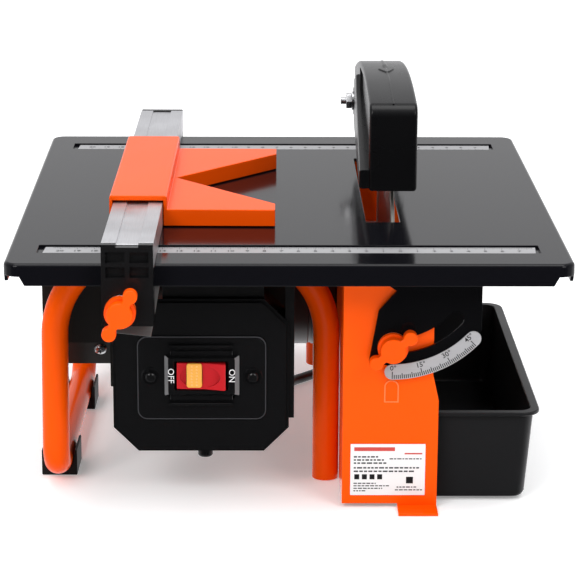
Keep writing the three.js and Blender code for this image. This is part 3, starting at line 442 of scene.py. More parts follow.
def blade_metal():
    """Steel blank ground in rings round the arbor, with a sintered diamond rim."""
    color = (0.60, 0.60, 0.61)
    m = Nodes("blade_steel", color, 0.28, 1.0)
    centre = m.add("ShaderNodeVectorMath", operation="SUBTRACT")
    centre.inputs[1].default_value = (BLADE.x * MM, BLADE.y * MM, BLADE.z * MM)
    m.link(m.place, centre.inputs[0])
    length = m.add("ShaderNodeVectorMath", operation="LENGTH")
    m.link(centre.outputs["Vector"], length.inputs[0])
    rings = m.add("ShaderNodeTexNoise", noise_dimensions="1D")
    rings.inputs["Scale"].default_value = 1800.0
    m.link(length.outputs["Value"], rings.inputs["W"])
    m.tint(m.ramp(rings.outputs["Fac"], 0.0, 1.0), shade(color, 0.82))
    m.bump(rings.outputs["Fac"], 0.00002)
    return m.material


def scale_finish(name, color):
    """Satin anodised aluminium strip, printed black: mostly an even light grey, with fine lines along X."""
    m = Nodes(name, color, 0.42, 0.25, 0.4)
    lines = m.noise(1500.0, 3.0, 0.6, m.stretched((0.02, 1, 1)))
    m.tint(m.ramp(lines, 0.0, 1.0, 0.3, 0.7), shade(color, 0.93))
    m.bump(lines, 0.000004)
    return m.material


ORANGE = (0.97, 0.094, 0.001)
M = {
    # panel_edge: a little lighter than the cover plastic, a painted highlight along the cover's raised panel
    # edge
    "panel_edge": plastic("panel_edge", (0.045, 0.045, 0.05), 0.35, 0.000004, 1600.0, 0.3),
    # light grey for the bezel's sloped side faces: a painted highlight of the light those bevels catch, not
    # wear
    "side_bevel_highlight": plastic("side_bevel_highlight", (0.17, 0.17, 0.175), 0.35, 0.000004, 1600.0, 0.3),
    "orange_paint": paint("orange_powder_coat", ORANGE, 0.25, 0.08, 0.0, 0.00002, 300.0),
    "black_paint": paint("black_enamel", (0.0035, 0.0035, 0.004), 0.10, 0.14, 0.0, 0.000012, 260.0),
    "table_paint": paint("table_enamel", (0.004, 0.004, 0.0055), 0.12, 0.16, 0.0, 0.000010, 240.0),
    "black_plastic": plastic("black_plastic", (0.0065, 0.0065, 0.007), 0.26, 0.00001, 1600.0, 0.3),
    "bracket_paint": paint("bracket_enamel", (0.017, 0.016, 0.015), 0.22, 0.2, 0.0, 0.000012, 260.0),
    # lighter copy of the housing orange: a painted highlight on the raised index ridge
    "index_highlight_orange": paint("index_highlight_orange", (1.0, 0.24, 0.07), 0.3, 0.2, 0.0, 0.00001, 300.0),
    "cover_plastic": plastic("cover_plastic", (0.0055, 0.0055, 0.006), 0.20, 0.000006, 1800.0, 0.32),
    "guard_plastic": plastic("guard_plastic", (0.0035, 0.0035, 0.004), 0.27, 0.00002, 1300.0, 0.18),
    "tray_plastic": plastic("tray_plastic", (0.013, 0.013, 0.014), 0.33, 0.00001, 1500.0, 0.25),
    "orange_plastic": plastic("orange_plastic", (0.93, 0.088, 0.001), 0.24, 0.00001, 1500.0, 0.10),
    "red_plastic": plastic("red_plastic", (0.54, 0.012, 0.018), 0.14, 0.000003, 900.0, 0.5),
    "yellow_plastic": plastic("yellow_plastic", (0.92, 0.43, 0.06), 0.30, 0.00001, 1200.0, 0.45),
    "rubber": plastic("black_rubber", (0.011, 0.011, 0.011), 0.62, 0.00008, 900.0, 0.3),
    "lead": plastic("lead_rubber", (0.009, 0.009, 0.009), 0.45, 0.00003, 900.0, 0.35),
    "aluminium": metal("drawn_aluminium", (0.66, 0.66, 0.68), 0.40, "y", 0.000006),
    "scale_plate": scale_finish("scale_plate", (0.50, 0.50, 0.515)),
    "ruler_plate": scale_finish("ruler_plate", (0.36, 0.36, 0.37)),
    "steel": metal("zinc_plated_steel", (0.62, 0.62, 0.63), 0.26),
    "sheet_steel": metal("bright_sheet_steel", (0.80, 0.78, 0.77), 0.45, "x"),
    "blade": blade_metal(),
    "rim": metal("diamond_rim", (0.42, 0.40, 0.37), 0.55, None, 0.00012),
    "motor_paint": paint("motor_paint", (0.022, 0.016, 0.015), 0.34, 0.4),
    "copper": metal("winding", (0.55, 0.24, 0.11), 0.4),
    "label": plastic("label_film", (0.86, 0.86, 0.86), 0.35, 0.000004, 700.0, 0.4),
    "ink": ink("black_ink", (0.012, 0.012, 0.013)),
    "red_ink": ink("red_ink", (0.62, 0.07, 0.06)),
    "grey_ink": ink("grey_ink", (0.05, 0.05, 0.055)),
    # lighter copy of the key's yellow: painted glints on the raised grip dots
    "key_dot_glint_yellow": plastic("key_dot_glint_yellow", (1.0, 0.56, 0.18), 0.35, 0.000002, 700.0, 0.4),
    "white_ink": ink("white_ink", (0.85, 0.85, 0.85), 0.45),
    "case": plastic("capacitor_case", (0.62, 0.62, 0.60), 0.5),
}


# ---------------------------------------------------------------- mains lead, coil and plug
CORD_RADIUS = 3.4
CORD_ROUTE = [
    (-25, -76.6, 48), (-25, -66, 47.5), (-25, -55, 44.6), (-25, -44, 38.2), (-25, -34, 29), (-24.8, -25, 19.6),
    (-24, -15, 11.4), (-22.6, -4, 6.2), (-20.4, 8, 4), (-17, 22, 3.5), (-12.4, 38, 3.5), (-6.6, 56, 3.5),
    (-0.4, 75, 3.5), (7, 91, 3.5), (14.6, 99.4, 3.5), (21.6, 107, 3.5), (28.4, 114.6, 3.5), (36.6, 121.2, 3.5),
    (47, 125.4, 3.5), (59, 126.8, 3.5), (72.8, 126.8, 3.5),
]
CORD_END_ROUTE = [
    (54.4, 165, 17.3), (55.6, 158, 17.4), (58.6, 151.4, 17.9), (63.4, 146, 19), (69.4, 142.6, 20.6),
    (76, 141.2, 22.6), (80.6, 141, 22.6),
]
COIL = {"x": 98.0, "y": 171.0, "outer": 44.2, "pitch": 6.8, "bands": 3}
PLUG_Y = 141.0
PLUG_Z = 22.6


def coil_route():
    """Turns of the coil: the lower layer from the outside in, the upper one from the inside out."""
    steps = 24
    start = -90.0
    turn_list = [(COIL["outer"] - COIL["pitch"] * k, CORD_RADIUS + 0.1) for k in range(COIL["bands"])]
    turn_list += [(r, 3 * CORD_RADIUS - 0.1) for r, _ in turn_list[::-1]]
    points = []
    last_part = 0.64
    easing = 0.25
    for i, (radius, z) in enumerate(turn_list):
        more = i + 1 < len(turn_list)
        following = turn_list[i + 1] if more else (radius, z)
        count = steps if more else round(steps * last_part)
        for k in range(count):
            share = max(0.0, (k / steps - (1 - easing)) / easing)
            ease = share * share * (3 - 2 * share)
            r = radius + (following[0] - radius) * ease
            height = z + (following[1] - z) * ease
            a = math.radians(start + 360.0 * k / steps)
            points.append((COIL["x"] + r * math.cos(a), COIL["y"] + r * math.sin(a), height))
    return points


def make_cord():
    climb = [(54.6, 178, 13.4), (54.0, 171.4, 16.2)]
    route = CORD_ROUTE[:-1] + [(85, 126.8, 3.5)] + coil_route() + climb + CORD_END_ROUTE
    curve = bpy.data.curves.new("mains_lead", "CURVE")
    curve.dimensions = "3D"
    curve.bevel_depth = CORD_RADIUS * MM
    curve.bevel_resolution = 5
    curve.resolution_u = 5
    curve.use_fill_caps = True
    spline = curve.splines.new("BEZIER")
    spline.bezier_points.add(len(route) - 1)
    for target, (x, y, z) in zip(spline.bezier_points, route):
        target.co = (x * MM, (y + SHIFT_Y) * MM, z * MM)
        target.handle_left_type = "AUTO"
        target.handle_right_type = "AUTO"
    curve.materials.append(M["lead"])
    cord = bpy.data.objects.new("mains_lead", curve)
    bpy.context.scene.collection.objects.link(cord)
    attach(cord, "base")
    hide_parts("mains_cord", "mains_cord_end", "cord_coil")
    return cord


def make_plug():
    y = PLUG_Y + SHIFT_Y
    neck_profile = [(0, 81), (3.9, 81), (4.6, 83.4), (4.2, 84.2), (5.2, 86.6), (4.7, 87.4), (5.8, 89.8),
                    (5.3, 90.6), (6.6, 93.2), (6.6, 97), (0, 97)]
    neck = lathe(neck_profile, "x", (0, y, PLUG_Z), 32)
    body = []
    sections = ((94, 7.0, 5.6, 4), (97, 10.4, 7.2, 5), (103, 12.2, 8.4, 6), (124, 12.4, 8.5, 6),
                (128.6, 12.2, 8.3, 5.6), (130, 11.4, 7.6, 5))
    for x, half_y, half_z, r in sections:
        section = rounded_rect(y - half_y, y + half_y, PLUG_Z - half_z, PLUG_Z + half_z, r)
        body.append([(x, u, v) for u, v in section])
    shell = loft(body)
    grips = [block(106 + 4 * k, 107.6 + 4 * k, y - 9, y + 9, PLUG_Z + 8.2, PLUG_Z + 8.9) for k in range(4)]
    for grip in grips:
        bevel(grip, 0.3, 2)
    plug = piece("plug_body", joined(shell, neck, *grips), M["rubber"], "base", ["mains_plug"])
    pins = []
    for side in (-9.5, 9.5):
        pin = [(0, 129), (1.9, 129), (1.9, 144.6), (1.2, 146), (0, 146)]
        pins.append(lathe(pin, "x", (0, y + side, PLUG_Z), 24))
    prongs = piece("plug_pins", joined(*pins), M["steel"], "base")
    return [plug, prongs]


def make_coil_tie():
    """Hook-and-loop strap round the bundle of turns, at the far side of the coil."""
    half = COIL["bands"] * CORD_RADIUS + 0.3
    centre = COIL["outer"] - COIL["pitch"]
    height = 4 * CORD_RADIUS
    outline = rounded_rect(-half, half, 0.35, height + 0.35, 3.2, 5)
    inner = rounded_rect(-half + 0.9, half - 0.9, 1.2, height - 0.5, 2.6, 5)
    x, y = COIL["x"], COIL["y"] + SHIFT_Y + centre
    loops = []
    for shape, side in ((outline, -6), (outline, 6), (inner, 6), (inner, -6), (outline, -6)):
        loops.append([(x + side, y + u, v) for u, v in shape])
    strap = loft(loops, False, False)
    tab = block(x - 5, x + 5, y - 3, y + half - 2, height + 0.3, height + 1.3)
    return piece("coil_tie", joined(strap, bevel(tab, 0.3, 2)), M["rubber"], "base")


def make_strain_relief():
    y = SHIFT_Y - 107.0
    profile = [(0, -2.6), (5.6, -2.6), (5.6, 0.3), (8, 0.3), (8, 3), (7.4, 3.6), (6.3, 4.0)]
    ribs = 6
    for k in range(ribs):
        h = 5.0 + 4.0 * k
        r = 6.2 - 1.7 * k / ribs
        profile += [(r, h), (r, h + 2.4), (r - 0.9, h + 2.9), (r - 0.9, h + 3.6)]
    profile += [(4.4, 29.2), (4.0, 30), (0, 30)]
    bm = lathe(profile, "y", (-25, y, 48), 32)
    return piece("strain_relief_boot", bm, M["rubber"], "base", ["strain_relief"])


lead = make_cord()
on_lead = make_plug() + [make_coil_tie(), make_strain_relief()]


# ---------------------------------------------------------------- tubular legs and feet
TUBE_RADIUS = 8.2
LEG_FRONT_Y = SHIFT_Y - 95
LEG_REAR_Y = SHIFT_Y + 88
RAIL_FRONT_Y = SHIFT_Y - 110
LEG_BEND = 54.0
LEG_LEFT_FRONT_X = -142.5
LEG_LEFT_REAR_X = -138.5
LEG_RIGHT_X = 24.0
CROSS_Z = TABLE_Z - 12
RAIL_Z = TUBE_RADIUS + 2.8


def bent_route(corners):
    """Straight runs joined by bends: corners are (point, bend radius)."""
    step = 0.06
    points = [Vector(corners[0][0])]
    for (before, _), (corner, bend), (after, _) in zip(corners, corners[1:], corners[2:]):
        corner = Vector(corner)
        into = (Vector(before) - corner).normalized()
        out = (Vector(after) - corner).normalized()
        half = into.angle(out) / 2
        centre = corner + (into + out).normalized() * (bend / math.sin(half))
        spoke_a = corner + into * (bend / math.tan(half)) - centre
        spoke_b = corner + out * (bend / math.tan(half)) - centre
        turn = spoke_a.angle(spoke_b)
        steps = max(6, round(turn / step))
        for k in range(steps + 1):
            a = math.sin(turn * (1 - k / steps)) / math.sin(turn)
            b = math.sin(turn * k / steps) / math.sin(turn)
            points.append(centre + spoke_a * a + spoke_b * b)
    points.append(Vector(corners[-1][0]))
    return points


def make_legs():
    route = bent_route([
        ((LEG_RIGHT_X, LEG_FRONT_Y, 0.4), 0),
        ((LEG_RIGHT_X, LEG_FRONT_Y, CROSS_Z), LEG_BEND),
        ((LEG_LEFT_FRONT_X, LEG_FRONT_Y, CROSS_Z), LEG_BEND),
        ((LEG_LEFT_FRONT_X, RAIL_FRONT_Y, RAIL_Z), 15),
        ((LEG_LEFT_REAR_X, LEG_REAR_Y, RAIL_Z), 20),
        ((LEG_LEFT_REAR_X, LEG_REAR_Y, CROSS_Z), LEG_BEND),
        ((LEG_RIGHT_X, LEG_REAR_Y, CROSS_Z), LEG_BEND),
        ((LEG_RIGHT_X, LEG_REAR_Y, 18), 0),
    ])
    tube = sweep(route, TUBE_RADIUS, 40, TUBE_RADIUS - 1.4)
    bevel(tube, 0.35, 2, 60)
    piece("leg_tube", tube, M["orange_paint"], "base", ["leg_frame"], 50)


def make_foot(node):
    """Saddle-shaped rubber foot, with thin lips up both sides of the rail."""
    low, high = box_mm(node)
    middle_y = (low.y + high.y) / 2
    half_y = (high.y - low.y) / 2 - 0.25
    half = TUBE_RADIUS + 2.9
    lean = math.atan2(LEG_LEFT_REAR_X - LEG_LEFT_FRONT_X, LEG_REAR_Y - RAIL_FRONT_Y)
    seat = arc(0, RAIL_Z, TUBE_RADIUS + 0.4, 0, -180, 20)
    outline = [(-half, 0), (half, 0), (half, RAIL_Z + 5.5), (half - 1.4, RAIL_Z + 5.5), *seat,
               (-half + 1.4, RAIL_Z + 5.5), (-half, RAIL_Z + 5.5)]
    foot = bevel(prism(outline, "y", -half_y, half_y), 0.7, 3)
    moved(turned(foot, -math.degrees(lean), "Z"), ((low.x + high.x) / 2, middle_y, 0))
    piece(node + "_saddle", foot, M["rubber"], "base", [node])


make_legs()
make_foot("foot_front")
make_foot("foot_rear")


# ---------------------------------------------------------------- blade housing, label and tie panel
def pointer_mark():
    """Bullet-shaped index pressed out of the housing under the tilt scale: a narrow raised line, coloured a
    lighter orange as a painted highlight.
    """
    half, low, shoulder = 4.4, 66.6, 76.4

    def outline(inset):
        w = half - inset
        return [(PIVOT.x - w, low + inset), (PIVOT.x + w, low + inset)] + [
            (PIVOT.x + u, v) for u, v in arc(0, shoulder, w, 0, 180, 14)]
    section = ((0, -0.1), (0.25, 0.4), (0.65, 0.4), (0.9, -0.1))
    loops = [[(x, HOUSING_FRONT - proud, z) for x, z in outline(inset)] for inset, proud in section]
    return loft(loops + [loops[0]], False, False)


def make_housing():
    front_panel = bevel(copy_node("blade_housing"), 0.6, 3, 40)
    slot_mark = bevel(block(73.5, 79.5, HOUSING_FRONT - 9.2, HOUSING_FRONT - 7.4, 1.45, 1.75), 0.1, 1)
    add_mesh(front_panel, slot_mark)
    piece("housing_sheet", front_panel, M["orange_paint"], "base", ["blade_housing"], 40)
    # The index ridge takes the lighter orange, a painted highlight.
    piece("index_pointer", pointer_mark(), M["index_highlight_orange"], "base")


def make_label():
    """White rating plate with plain bars where its print would be."""
    low, high = box_mm("rating_label")
    outline = rounded_rect(low.x, high.x, low.z, high.z, 0.4, 3)
    plate = prism(outline, "y", low.y + 0.02, high.y)
    piece("rating_plate", plate, M["label"], "base", ["rating_label"])
    face = low.y

    def bars(rows):
        parts = []
        for x, z, width, height in rows:
            x0 = low.x + x
            z0 = high.z - z
            parts.append(block(x0, x0 + width, face - 0.03, face + 0.04, z0 - height, z0))
        return joined(*parts)

    title = bars([(2.2, 2.0, 24.5, 2.4), (32.5, 5.6, 10.6, 0.9)])
    piece("plate_title_bar", title, M["red_ink"], "base")
    rng = random.Random(7)
    text_rows = []

    def dashes(lines, shortest, longest, overrun, height, gap):
        for z, x, end in lines:
            while x < end:
                width = rng.uniform(shortest, longest)
                text_rows.append((x, z, min(width, end - x + overrun), height))
                x += width + gap

    dashes(((7.6, 2.0, 16), (9.6, 2.0, 19.5), (11.6, 2.0, 21), (14.6, 2.0, 41), (16.8, 2.0, 38)),
           1.2, 3.4, 0.6, 0.95, 0.7)
    dashes(((9.0, 23.5, 43), (24.6, 2.0, 15), (26.2, 2.0, 23), (27.8, 2.0, 19), (29.4, 2.0, 9), (27.0, 28, 40),
            (28.8, 27, 43)), 0.9, 2.6, 0.4, 0.7, 0.55)
    piece("plate_text_bars", bars(text_rows), M["grey_ink"], "base")
    marks = bars([(2.4 + 4.6 * k, 19.2, 3.0, 3.2) for k in range(4)] + [(33.6, 20.8, 4.2, 4.2)])
    piece("plate_mark_squares", marks, M["ink"], "base")


def screw_head(radius, height):
    """Pan head with a cross recess, lying on y = 0 and facing -y."""
    profile = [(0, 0), (radius, 0), (radius, -0.35 * height), (0.86 * radius, -0.75 * height),
               (0.55 * radius, -0.96 * height), (0, -height)]
    head = lathe(profile, "y", (0, 0, 0), 32)
    arm, thick = 0.52 * radius, 0.13 * radius
    for half_x, half_z in ((arm, thick), (thick, arm)):
        head = boolean(head, block(-half_x, half_x, -1.2 * height, -0.45 * height, -half_z, half_z))
    return head


def make_panel():
    """Tie panel and the bright screw that stands square to its folded lip."""
    refined("cross_panel", "bracket_paint", 0.5, 3, 30)
    lean = math.atan2(11.8, 17.2)
    down = 5.6
    head = screw_head(4.0, 2.7)
    stud = lathe([(0, -1), (2.6, -1), (2.6, 6.6), (2.2, 7), (0, 7)], "y", (0, 0, 0), 24)
    bolt = joined(head, stud)
    at = (-116.2, SHIFT_Y - 81.8 + down * math.sin(lean), TABLE_Z - 76.4 - down * math.cos(lean))
    moved(turned(bolt, math.degrees(lean), "X"), at)
    piece("panel_screw", bolt, M["steel"], "base", ["panel_bolt"])


make_housing()
make_label()
make_panel()


# ---------------------------------------------------------------- motor and spindle
SHAFT_CENTRE = (0, BLADE.y, BLADE.z)


def make_motor():
    outer = 46.0
    profile = [(outer - 2.5, -59.7), (outer, -59.7)]
    for x in (-54, -46, 14, 20):
        profile += [(outer, x), (outer - 0.7, x + 0.6), (outer - 0.7, x + 2.2), (outer, x + 2.8)]
    profile += [(outer, 25.7), (outer - 2.5, 25.7), (outer - 2.5, -59.7)]
    shell = lathe(profile, "x", SHAFT_CENTRE, 72)
    piece("motor_tube", shell, M["motor_paint"], "base", ["motor_shell"])

    left = [(11.4, -66), (15, -66), (15, -63), (38, -63), (43, -60.3), (46, -60.3), (46, -63.2), (45.2, -65),
            (42, -69.4), (40, -70.8), (34, -72), (26, -72), (25, -70.9), (17, -70.9), (16, -72), (5, -72),
            (4, -71.4), (4, -70), (11.4, -70), (11.4, -66)]
    cap = lathe(left, "x", SHAFT_CENTRE, 72)
    slots = bmesh.new()
    for k in range(12):
        vent = block(-74, -61.5, -1.5, 1.5, 28, 36)
        add_mesh(slots, moved(turned(vent, 30 * k, "X"), SHAFT_CENTRE))
    cap = boolean(cap, slots)
    heads = []
    for k in range(4):
        a = math.radians(45 + 90 * k)
        place = (-71.0, BLADE.y + 21 * math.cos(a), BLADE.z + 21 * math.sin(a))
        heads.append(moved(turned(screw_head(2.6, 1.6), -90, "Z"), place))
    piece("motor_cap_left", cap, M["motor_paint"], "base", ["motor_end_left"])
    piece("motor_cap_screws", joined(*heads), M["steel"], "base")

    right = [(11.4, 20), (15, 20), (15, 26), (45, 26), (46, 27), (46, 31.4), (45.2, 32.2), (7.2, 32.2),
             (7.2, 28.6), (11.4, 28.6), (11.4, 20)]
    piece("motor_cap_right", lathe(right, "x", SHAFT_CENTRE, 72), M["motor_paint"], "base",
          ["motor_end_right"])


def make_blade():
    rim_start = BLADE_RADIUS - 8.0
    core = [(6.3, -0.8), (rim_start, -0.8), (rim_start, 0.8), (6.3, 0.8), (6.3, -0.8)]
    blank = lathe(core, "x", BLADE, 120)
    holes = bmesh.new()
    for k in range(6):
        a = math.radians(60 * k + 20)
        y, z = BLADE.y + 52 * math.cos(a), BLADE.z + 52 * math.sin(a)
        add_mesh(holes, lathe([(0, -3), (3.2, -3), (3.2, 3), (0, 3)], "x", (BLADE.x, y, z), 20))
    piece("blade_blank", boolean(blank, holes), M["blade"], "spindle", ["diamond_blade"])
    half = 1.1
    rim = [(rim_start, -0.8), (rim_start + 0.4, -half), (BLADE_RADIUS - 0.3, -half),
           (BLADE_RADIUS, -half + 0.3), (BLADE_RADIUS, half - 0.3), (BLADE_RADIUS - 0.3, half),
           (rim_start + 0.4, half), (rim_start, 0.8), (rim_start, -0.8)]
    piece("blade_rim", lathe(rim, "x", BLADE, 120), M["rim"], "spindle")


def make_clamping_parts():
    inner = [(6.3, -9), (9.6, -9), (10, -8.6), (10, -5.5), (24.6, -3.3), (25, -2.9), (25, -1.4), (6.3, -1.4),
             (6.3, -9)]
    piece("blade_flange_inner", lathe(inner, "x", BLADE, 64), M["steel"], "spindle", ["flange_inner"])
    outer = [(6.3, 1.1), (25, 1.1), (25, 2.4), (24.6, 2.9), (14, 4.2), (12, 4.6), (6.3, 4.6), (6.3, 1.1)]
    piece("blade_flange_outer", lathe(outer, "x", BLADE, 64), M["steel"], "spindle", ["flange_outer"])
    nut = prism(arc(BLADE.y, BLADE.z, 10.5, 0, 300, 5), "x", BLADE.x + 4.9, BLADE.x + 12.5)
    bevel(nut, 0.5, 2)
    nut = boolean(nut, lathe([(0, 0), (6.3, 0), (6.3, 20), (0, 20)], "x", BLADE, 40))
    piece("blade_nut", nut, M["steel"], "spindle", ["arbor_nut"])
    thread = [(0, -68), (5.6, -68), (6, -67.6), (6, -45), (7.6, -45), (7.6, 18), (6, 18), (6, 70)]
    for k in range(8):
        thread += [(5.5, 70.5 + k), (6, 71 + k)]
    thread += [(5.4, 79), (0, 79)]
    piece("spindle_shaft", lathe(thread, "x", SHAFT_CENTRE, 40), M["steel"], "spindle", ["shaft"])


def make_riving_knife():
    rear = SHIFT_Y + 111 - 3.0
    foot = BLADE.z + 7
    gap_radius = BLADE_RADIUS + 6
    neck = SLOT_REAR - 2.5
    outline = [(rear, foot), (rear, TABLE_Z - 22), (neck, TABLE_Z - 12), (neck, TABLE_Z + 3),
               (BOLT_Y + 9, BOLT_Z)]
    outline += arc(BOLT_Y, BOLT_Z, 9, 0, 149, 14)[1:]
    outline += [(BOLT_Y - 20, BOLT_Z - 14)]
    outline += arc(BLADE.y, BLADE.z, gap_radius, 39, math.degrees(math.asin(7 / gap_radius)), 24)
    plate = bevel(prism(outline, "x", BLADE.x - 1, BLADE.x + 1), 0.25, 2)
    bracket = bevel(block(34.3, BLADE.x + 0.5, rear - 11, rear, foot + 0.02, foot + 3), 0.4, 2)
    hole = lathe([(0, -4), (2.9, -4), (2.9, 4), (0, 4)], "x", (BLADE.x, BOLT_Y, BOLT_Z), 28)
    knife = joined(boolean(plate, hole), bracket)
    piece("splitter", knife, M["sheet_steel"], "base", ["riving_knife"])


make_motor()
make_blade()
make_clamping_parts()
make_riving_knife()


# ---------------------------------------------------------------- blade guard
GUARD_LEFT = BLADE.x - 16
GUARD_RIGHT = box_mm("guard_right")[1].x
GUARD_MID = (GUARD_LEFT + GUARD_RIGHT) / 2
GUARD_FRONT = SHIFT_Y - 80
GUARD_REAR = SHIFT_Y + 136
GUARD_ARC = 500.0
GUARD_ARC_Z = TABLE_Z + 79 - GUARD_ARC
GUARD_FLOOR = TABLE_Z + 20
GUARD_BOLT = Vector((BLADE.x, BOLT_Y, BOLT_Z))
GUARD_YAW = math.tan(math.radians(1.4))


def guard_outline(inset, below=0.0):
    """Side view of the guard, (y, z): flat front and bottom, a long arc over the top and a round nose."""
    nose = 8.0 - inset
    front, rear = GUARD_FRONT + inset, GUARD_REAR - inset
    radius = GUARD_ARC - inset
    start = math.degrees(math.acos((rear - SHIFT_Y) / radius))
    end = math.degrees(math.acos((front + nose - SHIFT_Y) / (radius - nose)))
    nose_z = GUARD_ARC_Z + (radius - nose) * math.sin(math.radians(end))
    heel = 13.0
    floor = GUARD_FLOOR - below
    outline = [(front, floor), (rear + 2 - heel, floor), (rear + 2, floor + heel)]
    outline += arc(SHIFT_Y, GUARD_ARC_Z, radius, start, end, 30)
    return outline + arc(front + nose, nose_z, nose, end, 180, 8)[1:]


def panel_edge():
    """Upper edge of the left shell's raised panel, from the front end to the top arc."""
    return [(SHIFT_Y + y, TABLE_Z + z) for y, z in ((-79.4, 33), (-47, 38.6), (20, 50), (50, 57.6), (66, 66))]


def crescent_outline(margin):
    """Recess of the left shell, between the rim and the raised panel."""
    top = guard_outline(margin)
    field = [(y, z) for y, z in top[3:] if y < SHIFT_Y + 62 and z > TABLE_Z + 45]
    front = GUARD_FRONT + margin
    lower = [(y, z + 0.6) for y, z in panel_edge()[1:4]]
    return field + [(front, TABLE_Z + 34.5)] + lower


def recess_outline(margin, belly):
    """Long lens-shaped field on the guard's right side: follows the top arc, with a bowed lower edge."""
    radius = GUARD_ARC - margin
    front, rear = GUARD_FRONT + margin, SHIFT_Y + 96 - margin * 0.3
    start = math.degrees(math.acos((rear - SHIFT_Y) / radius))
    end = math.degrees(math.acos((front - SHIFT_Y) / radius))
    top = arc(SHIFT_Y, GUARD_ARC_Z, radius, start, end, 30)
    (y0, z0), (y1, z1) = top[-1], top[0]
    lower = []
    for k in range(1, 24):
        t = k / 24
        lower.append((y0 + (y1 - y0) * t, z0 + (z1 - z0) * t - belly * math.sin(math.pi * t) ** 0.8))
    return top + lower


def inset_outline(points, distance):
    """Moves every side of a closed anticlockwise or clockwise outline inwards."""
    area = sum(a[0] * b[1] - b[0] * a[1] for a, b in zip(points, points[1:] + points[:1]))
    turn = 1 if area > 0 else -1
    result = []
    for before, point, after in zip(points[-1:] + points[:-1], points, points[1:] + points[:1]):
        first = Vector((point[0] - before[0], point[1] - before[1])).normalized()
        second = Vector((after[0] - point[0], after[1] - point[1])).normalized()
        normal = Vector((-first.y - second.y, first.x + second.x)) * turn
        normal *= distance * 2 / max(normal.length_squared, 0.5)
        result.append((point[0] + normal.x, point[1] + normal.y))
    return result


def guard_side_panel():
    """Raised panel, 6 mm proud at its front end and nearly flush at the rear."""
    rear = [(SHIFT_Y + y, TABLE_Z + z) for y, z in ((130, 52), (130, 32), (118, 21.4), (-79.4, 21.4))]
    outline = panel_edge() + rear
    loops = []
    for inset, short in ((0, 99), (0, 1.6), (0.35, 0.6), (1.2, 0.1), (2.0, 0)):
        loop = []
        for y, z in inset_outline(outline, inset):
            proud = 6 - GUARD_YAW * (y - GUARD_FRONT)
            loop.append((GUARD_LEFT - max(proud - short, -0.3 if short > 90 else 0.1), y, z))
        loops.append(loop)
    return loft(loops)


def guard_axis_lathe(profile, x, segments):
    """Turned piece on the axis of the guard's bolt."""
    return lathe(profile, "x", (x, GUARD_BOLT.y, GUARD_BOLT.z), segments)


def make_guard_shell(side):
    left = side < 0
    x_out = GUARD_LEFT if left else GUARD_RIGHT
    low, high = sorted((x_out, GUARD_MID))
    shell = prism(guard_outline(0), "x", low, high)
    bevel(shell, 2.2, 5, 20, lambda at: abs(at.x - x_out) < 0.01)
    wall = 2.6
    inner_low, inner_high = (x_out + wall, GUARD_MID + 2) if left else (GUARD_MID - 2, x_out - wall)
    shell = boolean(shell, prism(guard_outline(wall, 6), "x", inner_low, inner_high))
    mouth = block(inner_low, inner_high, GUARD_REAR - 12, GUARD_REAR + 8, GUARD_FLOOR - 6, TABLE_Z + 43)
    shell = boolean(shell, mouth)
    bore = guard_axis_lathe([(0, -40), (3.1, -40), (3.1, 40), (0, 40)], BLADE.x, 24)
    shell = boolean(shell, bore)
    field = crescent_outline(3.4) if left else recess_outline(9, 26)
    shell = boolean(shell, prism(field, "x", *sorted((x_out - side * 1.7, x_out + side * 3))))
    if left:
        detail = guard_side_panel()
        pad_x = GUARD_LEFT - 1.5
    else:
        section = ((12.4, 19.0, 1.75), (12.8, 18.4, 0.35), (14.2, 15.6, 0.35), (14.6, 15.0, 1.75))
        detail = loft([[(x_out - sunk, y, z) for y, z in recess_outline(margin, belly)]
                       for margin, belly, sunk in section])
        pad_x = x_out - 0.3
    pad = guard_axis_lathe([(3.6, 0), (9.2, 0), (9.6, 0.4), (9.6, 0.8), (3.6, 0.8), (3.6, 0)], pad_x, 40)
    hand = "left" if left else "right"
    piece("guard_shell_" + hand, joined(shell, detail, pad), M["guard_plastic"], "guard",
          ["guard_" + hand])


def arc_point(along, lift=0.0):
    """A point on the guard's top line: along is the distance to the rear of its crown."""
    a = math.pi / 2 - along / GUARD_ARC
    r = GUARD_ARC + lift
    return (SHIFT_Y + r * math.cos(a), GUARD_ARC_Z + r * math.sin(a))


def make_guard_arrow():
    """Moulded arrow on the crown that shows the way the blade turns, and the ridge along the seam."""

    def ridge(points, half, sunk, rise=0.0):
        path = []
        for k, (x, along) in enumerate(points):
            y, z = arc_point(along, min(0.35 * k, rise) - sunk)
            path.append((GUARD_MID + x, y, z))
        return sweep(path, half, 12)

    parts = [
        ridge([(0.0, 4 * k - 76) for k in range(33)], 0.6, 0.1),
        ridge([(0.0, 4 * k - 30) for k in range(21)], 1.0, 0.6),
        ridge([(0.0, 4 * k + 16) for k in range(12)], 2.6, 2.65, 1.1),
        ridge([(-4.3, 12), (-2.2, 5.6), (0, 0), (2.2, 5.6), (4.3, 12)], 0.8, 0.1),
    ]
    piece("guard_arrow", joined(*parts), M["guard_plastic"], "guard")


def hexagon_piece(radius, x0, x1, hole=0.0):
    nut = prism(arc(GUARD_BOLT.y, GUARD_BOLT.z, radius, 0, 300, 5), "x", x0, x1)
    bevel(nut, 0.5, 2)
    if hole:
        nut = boolean(nut, guard_axis_lathe([(0, x0 - 1), (hole, x0 - 1), (hole, x1 + 1), (0, x1 + 1)], 0, 28))
    return nut


